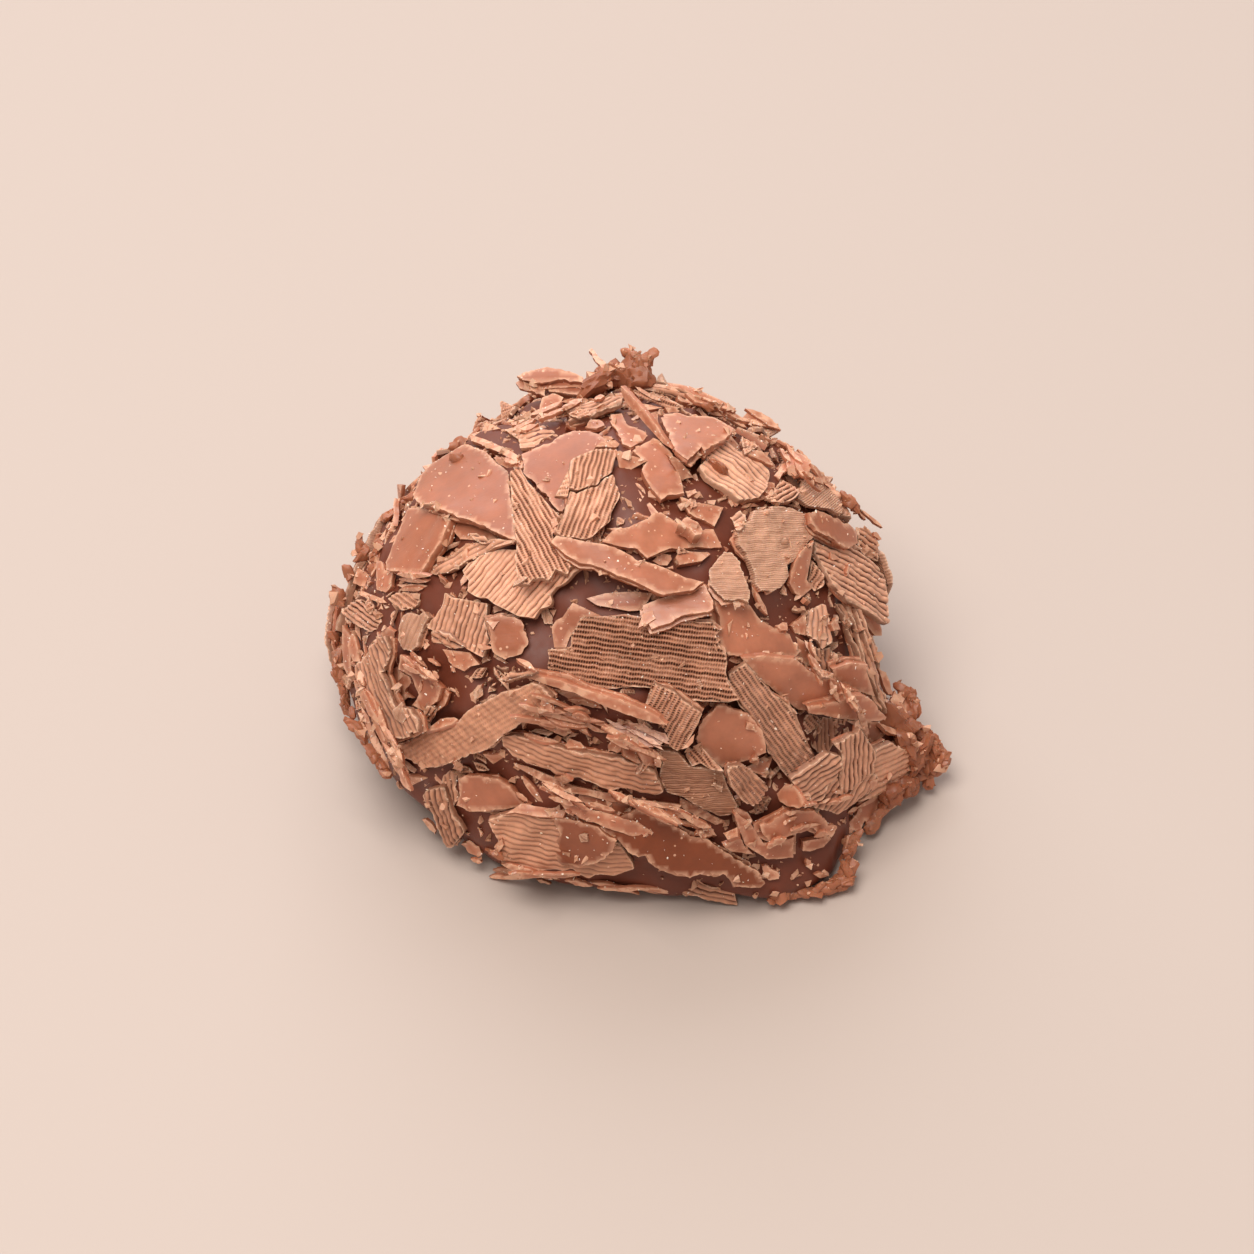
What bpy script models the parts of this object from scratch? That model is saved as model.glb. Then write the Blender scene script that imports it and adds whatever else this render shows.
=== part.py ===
"""A milk chocolate truffle: a coated dome with a flat foot, covered with broken chocolate flakes.

Run it with: blender --background --python part.py. Units are metres, +Z is up, and the front faces -Y.
The coated body is one solid. Every large flake is a thin, curled plate of its own, laid in turn on the
body and on the flakes under it, as it would come to rest when pressed on.
"""

import math
import random
from dataclasses import dataclass

import bmesh
import bpy
from mathutils import Matrix, Vector, noise
from mathutils.bvhtree import BVHTree

MM = 0.001

# The coated body: a turned dome that is widest at its waist and stands on a flat foot.
BODY_HEIGHT = 21.2 * MM
WAIST_HEIGHT = 5.4 * MM
WAIST_RADIUS = 14.9 * MM
FOOT_RADIUS = 12.6 * MM
BODY_SHIFT_X = -0.6 * MM
BODY_SEGMENTS = 56
BODY_RINGS = 24
DIMPLE_DEPTH = 0.3 * MM
DIMPLE_SIZE = 5.0 * MM

# How flakes lie: they clear each other by a gap, and tilt only so far from the body under them.
BEND_STEP = 1.6 * MM
GAP = 0.1 * MM
FLOOR_GAP = 0.25 * MM
STEEPEST_REST = math.radians(24)
REST_SAMPLE = 0.45 * MM
LEAST_UPWARD = 0.26
REACH = 9.0 * MM

# The front flakes are drawn on a sheet square to a line of sight from the front and above. The sheet
# passes through a point inside the dome, and a place on it is (millimetres right, millimetres up) of
# that point. A flake drawn past the dome's outline stands up on its edge, facing more to the viewer.
SIGHT_ELEVATION = math.radians(48)
SHEET_CENTRE = Vector((0.0, 0.0, 10.0 * MM))
SIGHT = Vector((0.0, -math.cos(SIGHT_ELEVATION), math.sin(SIGHT_ELEVATION)))
SHEET_RIGHT = Vector((1.0, 0.0, 0.0))
SHEET_UP = SIGHT.cross(SHEET_RIGHT)
MOST_ASLANT = math.radians(62)
STANDING_ASLANT = math.radians(35)
FRONT_SEED = 5
UNEVEN = 0.2

# The rest of the dome carries flakes broken at random, set in rows round its axis.
BACK_SEED = 11
BACK_ROWS = ((14.5, 3), (8.4, 5), (3.4, 5))
BACK_SWEEP = math.radians(200)
BACK_LENGTHS = (4.6 * MM, 8.6 * MM)
BACK_SLIMNESS = (0.45, 0.8)
BACK_KINDS = ("ribbed", "smooth", "ribbed", "grained")
BACK_CURL = 24.0 * MM
BACK_THICKNESS = 0.45 * MM

# Milk chocolate as sRGB hex: the coating, a cut face, a scraped ribbed face and a dull grained face.
KIND_COLOURS = {"body": 0x86503D, "smooth": 0xC17C5D, "ribbed": 0xC88A68, "grained": 0xBE8668}
KIND_ROUGHNESS = {"body": 0.38, "smooth": 0.48, "ribbed": 0.6, "grained": 0.66}


@dataclass(frozen=True)
class Lump:
    """A swelling of the body: where it is, how far it stands out and how far it spreads."""

    azimuth: float
    height: float
    rise: float
    spread: float
    tall: float


LUMPS = (
    Lump(azimuth=-48, height=0.0, rise=4.8, spread=20, tall=5.0),
    Lump(azimuth=-16, height=2.6, rise=3.6, spread=11, tall=3.2),
    Lump(azimuth=-84, height=0.0, rise=0.7, spread=26, tall=3.0),
    Lump(azimuth=180, height=6.5, rise=0.9, spread=34, tall=6.0),
    Lump(azimuth=25, height=12.0, rise=0.7, spread=40, tall=5.0),
    Lump(azimuth=-128, height=8.5, rise=-0.8, spread=22, tall=3.0),
    Lump(azimuth=-96, height=10.5, rise=-0.7, spread=16, tall=3.0),
)


@dataclass(frozen=True)
class Flake:
    """A flake as drawn on the sheet, in millimetres and degrees.

    `at` is its middle, and `turn` is where its head points, anticlockwise from the right. `taper` widens
    the head and narrows the tail by a share of the width. `nose` and `tail` cut a share of the width off
    each end. `lean` slides its left side forward and its right side back, and `bow` shifts its middle to
    the left. It curls down to both ends on the radius `curl`.
    """

    kind: str
    at: tuple
    length: float
    width: float
    turn: float
    taper: float = 0.0
    nose: float = 0.0
    tail: float = 0.0
    lean: float = 0.0
    bow: float = 0.0
    curl: float = 24.0
    thickness: float = 0.45

    def outline(self, chance):
        """Its corners on the sheet, going round, each a little out of place as on any broken edge."""
        straight = self.nose == self.tail == self.bow == 0.0
        stations = (-1.0, 1.0) if straight else (-1.0, -0.45, 0.45, 1.0)
        sides = [(side, station * side) for side in (-1, 1) for station in reversed(stations)]
        heading = math.radians(self.turn)
        corners = []
        for side, station in sides:
            cut = {1.0: self.nose, -1.0: self.tail}.get(station, 0.0)
            half = self.width / 2 * (1 + self.taper * station) * (1 - cut)
            u = station * self.length / 2 + side * self.lean + chance.uniform(-UNEVEN, UNEVEN)
            v = side * half + self.bow * (1 - station**2) + chance.uniform(-UNEVEN, UNEVEN)
            x = self.at[0] + u * math.cos(heading) - v * math.sin(heading)
            y = self.at[1] + u * math.sin(heading) + v * math.cos(heading)
            corners.append((x, y))
        return corners


# The front flakes, those laid first at the head of the list.
FRONT_FLAKES = (
    # Round the left side.
    Flake("ribbed", (-9.4, -1.5), 3.7, 2.8, -24, taper=0.1),
    Flake("smooth", (-6.8, -2.5), 3.4, 2.4, -70, nose=0.4),
    Flake("grained", (-12.5, -1.9), 2.5, 2.1, 80),
    Flake("smooth", (-11.8, -4.8), 2.9, 2.1, -78),
    Flake("ribbed", (-13.9, -5.6), 6.2, 2.9, -68, taper=-0.1),
    # Round the right side.
    Flake("ribbed", (11.6, -3.1), 2.6, 1.5, -80, lean=-0.3),
    Flake("ribbed", (14.2, -3.6), 6.7, 1.3, -69),
    Flake("smooth", (13.4, -4.5), 2.1, 1.3, -5),
    # The upper half.
    Flake("smooth", (-12.2, 3.6), 3.7, 2.7, 72, taper=0.12),
    Flake("ribbed", (-6.2, 1.1), 6.4, 3.7, -8, nose=0.3, tail=0.65),
    Flake("smooth", (-9.4, 6.6), 6.2, 4.3, -14, taper=0.12, tail=0.4, bow=0.4),
    Flake("smooth", (-3.3, 7.9), 5.6, 3.6, 50, nose=0.3, tail=0.4),
    Flake("ribbed", (-5.0, 4.0), 6.0, 2.7, -72, taper=0.3),
    Flake("ribbed", (-1.9, 6.4), 4.7, 2.7, 83, bow=-0.5),
    Flake("smooth", (2.3, 3.8), 6.9, 2.2, 0, taper=-0.2, tail=0.7),
    Flake("smooth", (2.2, 7.7), 3.7, 1.9, -62),
    Flake("ribbed", (7.0, 7.4), 4.3, 2.6, -36),
    Flake("smooth", (4.5, 9.9), 4.4, 2.3, -12, nose=0.3, tail=0.3, bow=-0.3),
    Flake("grained", (9.0, 3.2), 5.1, 3.9, 72, nose=0.25, tail=0.6),
    Flake("ribbed", (13.7, 1.8), 5.4, 3.2, -70, lean=0.7),
    Flake("smooth", (12.4, 4.3), 3.2, 1.2, -25, nose=0.3),
    # The crown.
    Flake("smooth", (-3.7, 12.8), 5.4, 1.4, -12, nose=0.6, tail=0.3),
    Flake("ribbed", (-2.4, 11.1), 4.2, 1.1, 22),
    Flake("ribbed", (2.8, 12.1), 4.8, 1.0, -16),
    # Across the middle.
    Flake("smooth", (7.6, -1.7), 4.9, 2.8, -24, nose=0.4),
    Flake("smooth", (9.9, -4.4), 7.6, 2.3, -25, nose=0.5, tail=0.4, curl=18.0),
    Flake("smooth", (12.7, -6.3), 6.1, 1.3, -10, tail=0.5),
    Flake("grained", (6.6, 1.0), 3.7, 2.5, -45, nose=0.2),
    Flake("ribbed", (9.0, -7.1), 7.1, 2.4, -58, taper=0.3),
    Flake("smooth", (6.3, -7.9), 4.0, 3.6, 30, nose=0.45, tail=0.45),
    Flake("ribbed", (1.2, -3.4), 10.2, 4.1, -6, taper=0.13, lean=0.4),
    Flake("smooth", (3.3, -0.3), 3.9, 1.5, 18),
    Flake("smooth", (0.4, 2.2), 9.6, 1.9, -17, nose=0.5, tail=0.6, curl=40.0),
    # The lower half, down to the foot.
    Flake("ribbed", (-10.6, -13.0), 3.4, 1.2, -66),
    Flake("smooth", (-7.7, -11.4), 4.3, 2.1, -12, nose=0.5),
    Flake("grained", (4.5, -10.5), 3.9, 2.7, -28),
    Flake("ribbed", (2.9, -6.9), 3.6, 2.3, -68),
    Flake("ribbed", (-3.6, -14.3), 8.0, 3.1, -11, lean=-0.6, tail=0.2),
    Flake("smooth", (2.4, -14.4), 13.2, 2.9, -24, nose=0.6, tail=0.8, curl=30.0),
    Flake("ribbed", (-2.2, -9.7), 9.9, 1.7, -16, tail=0.3, lean=0.3),
    Flake("smooth", (-1.7, -5.9), 8.8, 0.8, -20, thickness=0.6),
    Flake("ribbed", (7.5, -11.1), 2.9, 1.6, -52),
    Flake("ribbed", (15.5, -10.3), 5.5, 2.1, 38, taper=0.15),
    Flake("ribbed", (12.8, -10.3), 5.4, 2.9, 33, nose=0.2),
    Flake("smooth", (9.6, -13.7), 6.0, 2.2, -10, nose=0.5, tail=0.6),
    Flake("ribbed", (-9.0, -7.6), 10.8, 2.1, 24, nose=0.35, tail=0.35, bow=-0.3, curl=40.0),
)


def clear_scene():
    """Removes every object that the file opened with."""
    for old in list(bpy.data.objects):
        bpy.data.objects.remove(old)


def linear(channel):
    """One sRGB channel, 0 to 1, as linear light."""
    return channel / 12.92 if channel <= 0.04045 else ((channel + 0.055) / 1.055) ** 2.4


def chocolate(kind):
    """The plain finish of one kind of chocolate surface."""
    material = bpy.data.materials.new(f"{kind}_chocolate")
    material.use_nodes = True
    shader = material.node_tree.nodes["Principled BSDF"]
    code = KIND_COLOURS[kind]
    channels = [linear((code >> shift & 255) / 255) for shift in (16, 8, 0)]
    shader.inputs["Base Color"].default_value = (*channels, 1.0)
    shader.inputs["Roughness"].default_value = KIND_ROUGHNESS[kind]
    shader.inputs["Metallic"].default_value = 0.0
    return material


def add_object(name, bm, material):
    """Links a finished mesh to the scene as one named object, shaded smooth up to its sharp edges."""
    mesh = bpy.data.meshes.new(name)
    bm.to_mesh(mesh)
    bm.free()
    mesh.materials.append(material)
    mesh.shade_smooth()
    mesh.set_sharp_from_angle(angle=math.radians(35))
    made = bpy.data.objects.new(name, mesh)
    bpy.context.scene.collection.objects.link(made)
    return made


# The coated body


def turned_profile(share):
    """(radius, height) of the plain dome, from its crown at share 0 to the foot's edge at share 1."""
    turn = share * math.pi
    if turn <= math.pi / 2:
        rise = (BODY_HEIGHT - WAIST_HEIGHT) * math.cos(turn)
        return WAIST_RADIUS * math.sin(turn), WAIST_HEIGHT + rise
    radius = FOOT_RADIUS + (WAIST_RADIUS - FOOT_RADIUS) * math.sin(turn)
    return radius, WAIST_HEIGHT * (1 + math.cos(turn))


def swelling(azimuth, height):
    """How far all the lumps together push the body out at an azimuth, in radians, and a height."""
    total = 0.0
    for lump in LUMPS:
        apart = math.remainder(azimuth - math.radians(lump.azimuth), math.tau)
        across = apart / math.radians(lump.spread)
        along = (height - lump.height * MM) / (lump.tall * MM)
        total += lump.rise * MM * math.exp(-(across**2) - along**2)
    return total


def body_point(share, azimuth):
    """A point of the coated body's surface, with its lumps and shallow dimples."""
    radius, height = turned_profile(share)
    plain = Vector((radius * math.cos(azimuth), radius * math.sin(azimuth), height))
    dimple = DIMPLE_DEPTH * noise.noise(plain / DIMPLE_SIZE)
    radius += (swelling(azimuth, height) + dimple) * min(1.0, radius / FOOT_RADIUS)
    place = (BODY_SHIFT_X + radius * math.cos(azimuth), radius * math.sin(azimuth), height)
    return Vector(place)


def make_body():
    """The dome as rings of points between its crown and its flat foot."""
    bm = bmesh.new()
    crown = bm.verts.new(body_point(0.0, 0.0))
    rings = []
    for ring in range(1, BODY_RINGS + 1):
        share = ring / BODY_RINGS
        turns = (math.tau * k / BODY_SEGMENTS for k in range(BODY_SEGMENTS))
        rings.append([bm.verts.new(body_point(share, azimuth)) for azimuth in turns])
    for k in range(BODY_SEGMENTS):
        after = (k + 1) % BODY_SEGMENTS
        bm.faces.new((crown, rings[0][k], rings[0][after]))
        for upper, lower in zip(rings, rings[1:]):
            bm.faces.new((upper[k], lower[k], lower[after], upper[after]))
    bm.faces.new(reversed(rings[-1]))
    return add_object("coated_body", bm, chocolate("body"))


# Flakes


@dataclass
class Seat:
    """The plane that a flake lies in: a point, its two axes in the plane, and its outward normal."""

    point: Vector
    along: Vector
    across: Vector
    normal: Vector

    @classmethod
    def at(cls, point, normal, along):
        """A seat whose first axis is `along`, turned into the plane."""
        normal = normal.normalized()
        first = (along - normal * along.dot(normal)).normalized()
        return cls(point, first, normal.cross(first), normal)

    def place(self, u, v, height=0.0):
        """The point at (u, v) in the plane and at a height above it."""
        return self.point + self.along * u + self.across * v + self.normal * height

    def local(self, point):
        """(u, v) of a point."""
        away = point - self.point
        return away.dot(self.along), away.dot(self.across)


class Pile:
    """The body and the flakes laid so far, as one set of faces that rays can meet."""

    def __init__(self):
        self.points = []
        self.faces = []
        self.tree = None

    def add(self, obj):
        """Counts an object's faces in, from now on."""
        first = len(self.points)
        self.points += [vertex.co.copy() for vertex in obj.data.vertices]
        self.faces += [tuple(first + k for k in face.vertices) for face in obj.data.polygons]
        self.tree = BVHTree.FromPolygons(self.points, self.faces)

    def height_over(self, seat, u, v):
        """How high the pile stands over a seat's plane at (u, v), or None where it isn't there."""
        start = seat.place(u, v, REACH)
        _, _, _, distance = self.tree.ray_cast(start, -seat.normal, 2 * REACH)
        return None if distance is None else REACH - distance

    def meets(self, points, faces):
        """Whether a flake's faces cut the pile's."""
        return bool(self.tree.overlap(BVHTree.FromPolygons(points, faces)))


def longest_side(outline):
    """The direction between the two corners that lie furthest apart."""
    pairs = [(b - a) for i, a in enumerate(outline) for b in outline[i + 1 :]]
    return max(pairs, key=lambda pair: pair.length)


def inside(outline, u, v):
    """Whether (u, v) is inside a closed outline, by counting the sides crossed."""
    crossings = 0
    for (ua, va), (ub, vb) in zip(outline, outline[1:] + outline[:1]):
        if (va > v) != (vb > v) and u < ua + (v - va) / (vb - va) * (ub - ua):
            crossings += 1
    return crossings % 2 == 1


def samples_of(outline):
    """Places spread evenly over an outline and along its rim, where it could touch what is under it."""
    found = []
    for (ua, va), (ub, vb) in zip(outline, outline[1:] + outline[:1]):
        steps = max(1, round(math.hypot(ub - ua, vb - va) / REST_SAMPLE))
        found += [(ua + (ub - ua) * k / steps, va + (vb - va) * k / steps) for k in range(steps)]
    us, vs = [u for u, _ in outline], [v for _, v in outline]
    for row in range(math.ceil((max(vs) - min(vs)) / REST_SAMPLE)):
        for column in range(math.ceil((max(us) - min(us)) / REST_SAMPLE)):
            u, v = min(us) + column * REST_SAMPLE, min(vs) + row * REST_SAMPLE
            if inside(outline, u, v):
                found.append((u, v))
    return found


def curled(u, curl):
    """How far a flake's curl drops it below its seat at a distance u along it."""
    return -(u**2) / (2 * curl)


def resting_slopes(points):
    """(slope along u, slope along v) of the plane that a plate pressed at its middle settles in.

    It is the top side of the points' convex hull that is lowest over the middle and under no point.
    """
    hull = bmesh.new()
    for point in points:
        hull.verts.new(point)
    bmesh.ops.convex_hull(hull, input=hull.verts, use_existing_faces=False)
    planes = [(max(point[2] for point in points), 0.0, 0.0)]
    for face in hull.faces:
        face.normal_update()
        normal = face.normal if face.normal.z > 0 else -face.normal
        if normal.z < LEAST_UPWARD:
            continue
        base = face.verts[0].co
        slopes = (-normal.x / normal.z, -normal.y / normal.z)
        middle = base.z - slopes[0] * base.x - slopes[1] * base.y
        over = max(z - middle - slopes[0] * u - slopes[1] * v for u, v, z in points)
        if over < GAP / 10:
            planes.append((middle, *slopes))
    hull.free()
    return min(planes)[1:]


def settle(pile, seat, outline, curl):
    """The seat that an outline comes to rest in when it is pressed on the pile along its normal."""
    points = []
    for u, v in samples_of(outline):
        height = pile.height_over(seat, u, v)
        if height is not None:
            points.append((u, v, height - curled(u, curl)))
    if len(points) < 4:
        return seat
    slope_u, slope_v = resting_slopes(points)
    steepness = math.hypot(slope_u, slope_v)
    if steepness > math.tan(STEEPEST_REST):
        slope_u *= math.tan(STEEPEST_REST) / steepness
        slope_v *= math.tan(STEEPEST_REST) / steepness
    middle = max(p[2] - slope_u * p[0] - slope_v * p[1] for p in points)
    tilt = seat.normal - seat.along * slope_u - seat.across * slope_v
    return Seat.at(seat.place(0, 0, middle + GAP), tilt, seat.along)


def on_plane(seat, x, y):
    """Where the line of sight through a corner of the sheet meets a seat's plane."""
    start = SHEET_CENTRE + SHEET_RIGHT * x * MM + SHEET_UP * y * MM
    distance = (seat.point - start).dot(seat.normal) / SIGHT.dot(seat.normal)
    return start + SIGHT * distance


def turned_to_sight(normal, most):
    """A normal turned towards the viewer until it is no more aslant than `most`."""
    angle = normal.angle(SIGHT)
    if angle <= most:
        return normal
    return normal.slerp(SIGHT, (angle - most) / angle)


def drawn_seat(pile, body, drawn, curl):
    """(seat, outline) of a flake whose corners are drawn on the sheet, once it rests on the pile."""
    middle_x = sum(x for x, _ in drawn) / len(drawn)
    middle_y = sum(y for _, y in drawn) / len(drawn)
    start = SHEET_CENTRE + SHEET_RIGHT * middle_x * MM + SHEET_UP * middle_y * MM
    found, normal, _, _ = body.ray_cast(start + SIGHT * 5 * REACH, -SIGHT)
    most = MOST_ASLANT
    if found is None:
        found, normal, _, _ = body.find_nearest(start)
        most = STANDING_ASLANT
    seat = Seat.at(found, turned_to_sight(normal, most), SHEET_RIGHT)
    for _ in range(3):
        corners = [on_plane(seat, x, y) for x, y in drawn]
        middle = sum(corners, Vector()) / len(corners)
        seat = Seat.at(middle, seat.normal, longest_side(corners))
        settled = settle(pile, seat, [seat.local(corner) for corner in corners], curl)
        seat = Seat.at(settled.point, turned_to_sight(settled.normal, most), settled.along)
    return seat, [seat.local(on_plane(seat, x, y)) for x, y in drawn]


def plate(seat, outline, curl, thickness):
    """A flake's solid: its outline cut into strips, curled, and given its thickness."""
    bm = bmesh.new()
    bm.faces.new([bm.verts.new((u, v, 0.0)) for u, v in outline])
    near, far = min(u for u, _ in outline), max(u for u, _ in outline)
    strips = max(1, math.ceil((far - near) / BEND_STEP))
    for k in range(1, strips):
        station = Vector((near + (far - near) * k / strips, 0.0, 0.0))
        geometry = bm.verts[:] + bm.edges[:] + bm.faces[:]
        bmesh.ops.bisect_plane(bm, geom=geometry, plane_co=station, plane_no=(1, 0, 0))
    for vertex in bm.verts:
        vertex.co.z = curled(vertex.co.x, curl)
    raised = bmesh.ops.extrude_face_region(bm, geom=bm.faces[:], use_keep_orig=True)["geom"]
    for vertex in (v for v in raised if isinstance(v, bmesh.types.BMVert)):
        vertex.co.z += thickness
    bmesh.ops.recalc_face_normals(bm, faces=bm.faces)
    axes = Matrix((seat.along, seat.across, seat.normal)).transposed()
    bm.transform(Matrix.Translation(seat.point) @ axes.to_4x4())
    return bm


def lay(name, finish, pile, seat, outline, curl, thickness):
    """Makes a flake where it rests, raised a little more if its solid still meets the pile or the floor."""
    while True:
        bm = plate(seat, outline, curl, thickness)
        lowest = min(vertex.co.z for vertex in bm.verts)
        points = [vertex.co.copy() for vertex in bm.verts]
        faces = [[vertex.index for vertex in face.verts] for face in bm.faces]
        if lowest < FLOOR_GAP:
            seat.point.z += FLOOR_GAP - lowest + GAP
        elif pile.meets(points, faces):
            seat.point += seat.normal * GAP
        else:
            break
        bm.free()
    pile.add(add_object(name, bm, finish))


def back_flakes(body, pile):
    """(kind, seat, outline) of each flake round the sides and back, broken at random."""
    chance = random.Random(BACK_SEED)
    count = 0
    for height, across in BACK_ROWS:
        for k in range(across):
            sweep = BACK_SWEEP * ((k + 0.5 + chance.uniform(-0.15, 0.15)) / across - 0.5)
            azimuth = math.pi / 2 + sweep
            outward = Vector((math.cos(azimuth), math.sin(azimuth), 0.0))
            start = outward * 4 * WAIST_RADIUS + Vector((0, 0, height * MM))
            found, normal, _, _ = body.ray_cast(start, -outward)
            length = chance.uniform(*BACK_LENGTHS)
            width = length * chance.uniform(*BACK_SLIMNESS)
            heading = Vector((chance.uniform(-1, 1), chance.uniform(-1, 1), chance.uniform(-1, 1)))
            seat = Seat.at(found, normal, heading)
            outline = broken_outline(chance, length, width)
            yield BACK_KINDS[count % len(BACK_KINDS)], settle(pile, seat, outline, BACK_CURL), outline
            count += 1


def broken_outline(chance, length, width):
    """The outline of a flake that broke off unevenly: five or six corners round an oval."""
    corners = chance.choice((5, 6))
    outline = []
    for k in range(corners):
        turn = math.tau * (k + chance.uniform(-0.25, 0.25)) / corners
        reach = chance.uniform(0.85, 1.1)
        outline.append((reach * length / 2 * math.cos(turn), reach * width / 2 * math.sin(turn)))
    return outline


def main():
    clear_scene()
    body = make_body()
    body_tree = BVHTree.FromObject(body, bpy.context.evaluated_depsgraph_get())
    pile = Pile()
    pile.add(body)
    finishes = {kind: chocolate(kind) for kind in KIND_COLOURS if kind != "body"}
    counts = dict.fromkeys(finishes, 0)

    def lay_next(kind, seat, outline, curl, thickness):
        counts[kind] += 1
        lay(f"{kind}_flake_{counts[kind]:02d}", finishes[kind], pile, seat, outline, curl, thickness)

    chance = random.Random(FRONT_SEED)
    for flake in FRONT_FLAKES:
        curl = flake.curl * MM
        seat, outline = drawn_seat(pile, body_tree, flake.outline(chance), curl)
        lay_next(flake.kind, seat, outline, curl, flake.thickness * MM)
    for kind, seat, outline in back_flakes(body_tree, pile):
        lay_next(kind, seat, outline, BACK_CURL, BACK_THICKNESS)


main()
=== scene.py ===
"""A milk chocolate truffle, finished: coating, ribbed and smooth flakes, chips, crumbs and fine specks.

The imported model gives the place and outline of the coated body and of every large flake. Each large
flake is cut again here with broken edges, a curl and the ribs of the scraper. The smaller chips are
laid between them, sunk by one edge in the coating, and crumbs are scattered over all of it.
"""

import logging
import math
from dataclasses import dataclass, field, replace
from enum import Enum
from functools import partial, reduce

import bmesh
import bpy
import numpy as np
from mathutils import Matrix, Quaternion, Vector, noise
from mathutils.bvhtree import BVHTree
from mathutils.geometry import delaunay_2d_cdt, tessellate_polygon


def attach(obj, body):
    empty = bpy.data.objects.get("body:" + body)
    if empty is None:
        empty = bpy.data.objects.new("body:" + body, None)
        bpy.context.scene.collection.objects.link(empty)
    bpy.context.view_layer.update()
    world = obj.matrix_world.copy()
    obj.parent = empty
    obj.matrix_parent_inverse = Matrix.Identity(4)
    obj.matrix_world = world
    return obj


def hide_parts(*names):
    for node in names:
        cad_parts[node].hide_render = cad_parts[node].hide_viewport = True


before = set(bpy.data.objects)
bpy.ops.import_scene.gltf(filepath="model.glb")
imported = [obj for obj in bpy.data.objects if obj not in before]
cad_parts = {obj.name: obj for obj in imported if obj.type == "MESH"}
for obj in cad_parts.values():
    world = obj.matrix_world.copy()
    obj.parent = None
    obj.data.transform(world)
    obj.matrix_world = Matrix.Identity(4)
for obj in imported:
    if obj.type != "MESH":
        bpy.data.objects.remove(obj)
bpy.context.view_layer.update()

MM = 0.001
LOG = logging.getLogger("truffle")

# The view: from the front and above. A place in it is given in millimetres right and up of the view's
# centre, on a sheet through that point which is square to the line of sight.
ELEVATION = math.radians(48)
VIEW_CENTRE = Vector((0.0, 0.0, 10.0))
SIGHT = Vector((0.0, -math.cos(ELEVATION), math.sin(ELEVATION)))
RIGHT = Vector((1.0, 0.0, 0.0))
UP = SIGHT.cross(RIGHT)
EYE_DISTANCE = 400.0
AIM_RIGHT = 0.29
AIM_DOWN = 1.59
EYE = VIEW_CENTRE + RIGHT * AIM_RIGHT - UP * AIM_DOWN + SIGHT * EYE_DISTANCE

# Edges that turn more than this look broken rather than rounded.
SHARP = math.radians(38)


class Face(Enum):
    """The kinds of face that a flake can show."""

    RIBBED = "ribbed"
    SMOOTH = "smooth"
    GRAINED = "grained"


def linear(code: int) -> tuple[float, float, float, float]:
    """Turns an sRGB hex colour to linear light.

    Args:
        code: the colour as 0xRRGGBB.

    Returns:
        Red, green, blue and alpha.
    """
    channels = [(code >> shift & 255) / 255 for shift in (16, 8, 0)]
    red, green, blue = (c / 12.92 if c <= 0.04045 else ((c + 0.055) / 1.055) ** 2.4 for c in channels)
    return red, green, blue, 1.0


Socket = bpy.types.NodeSocket
Input = Socket | float | tuple


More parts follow.
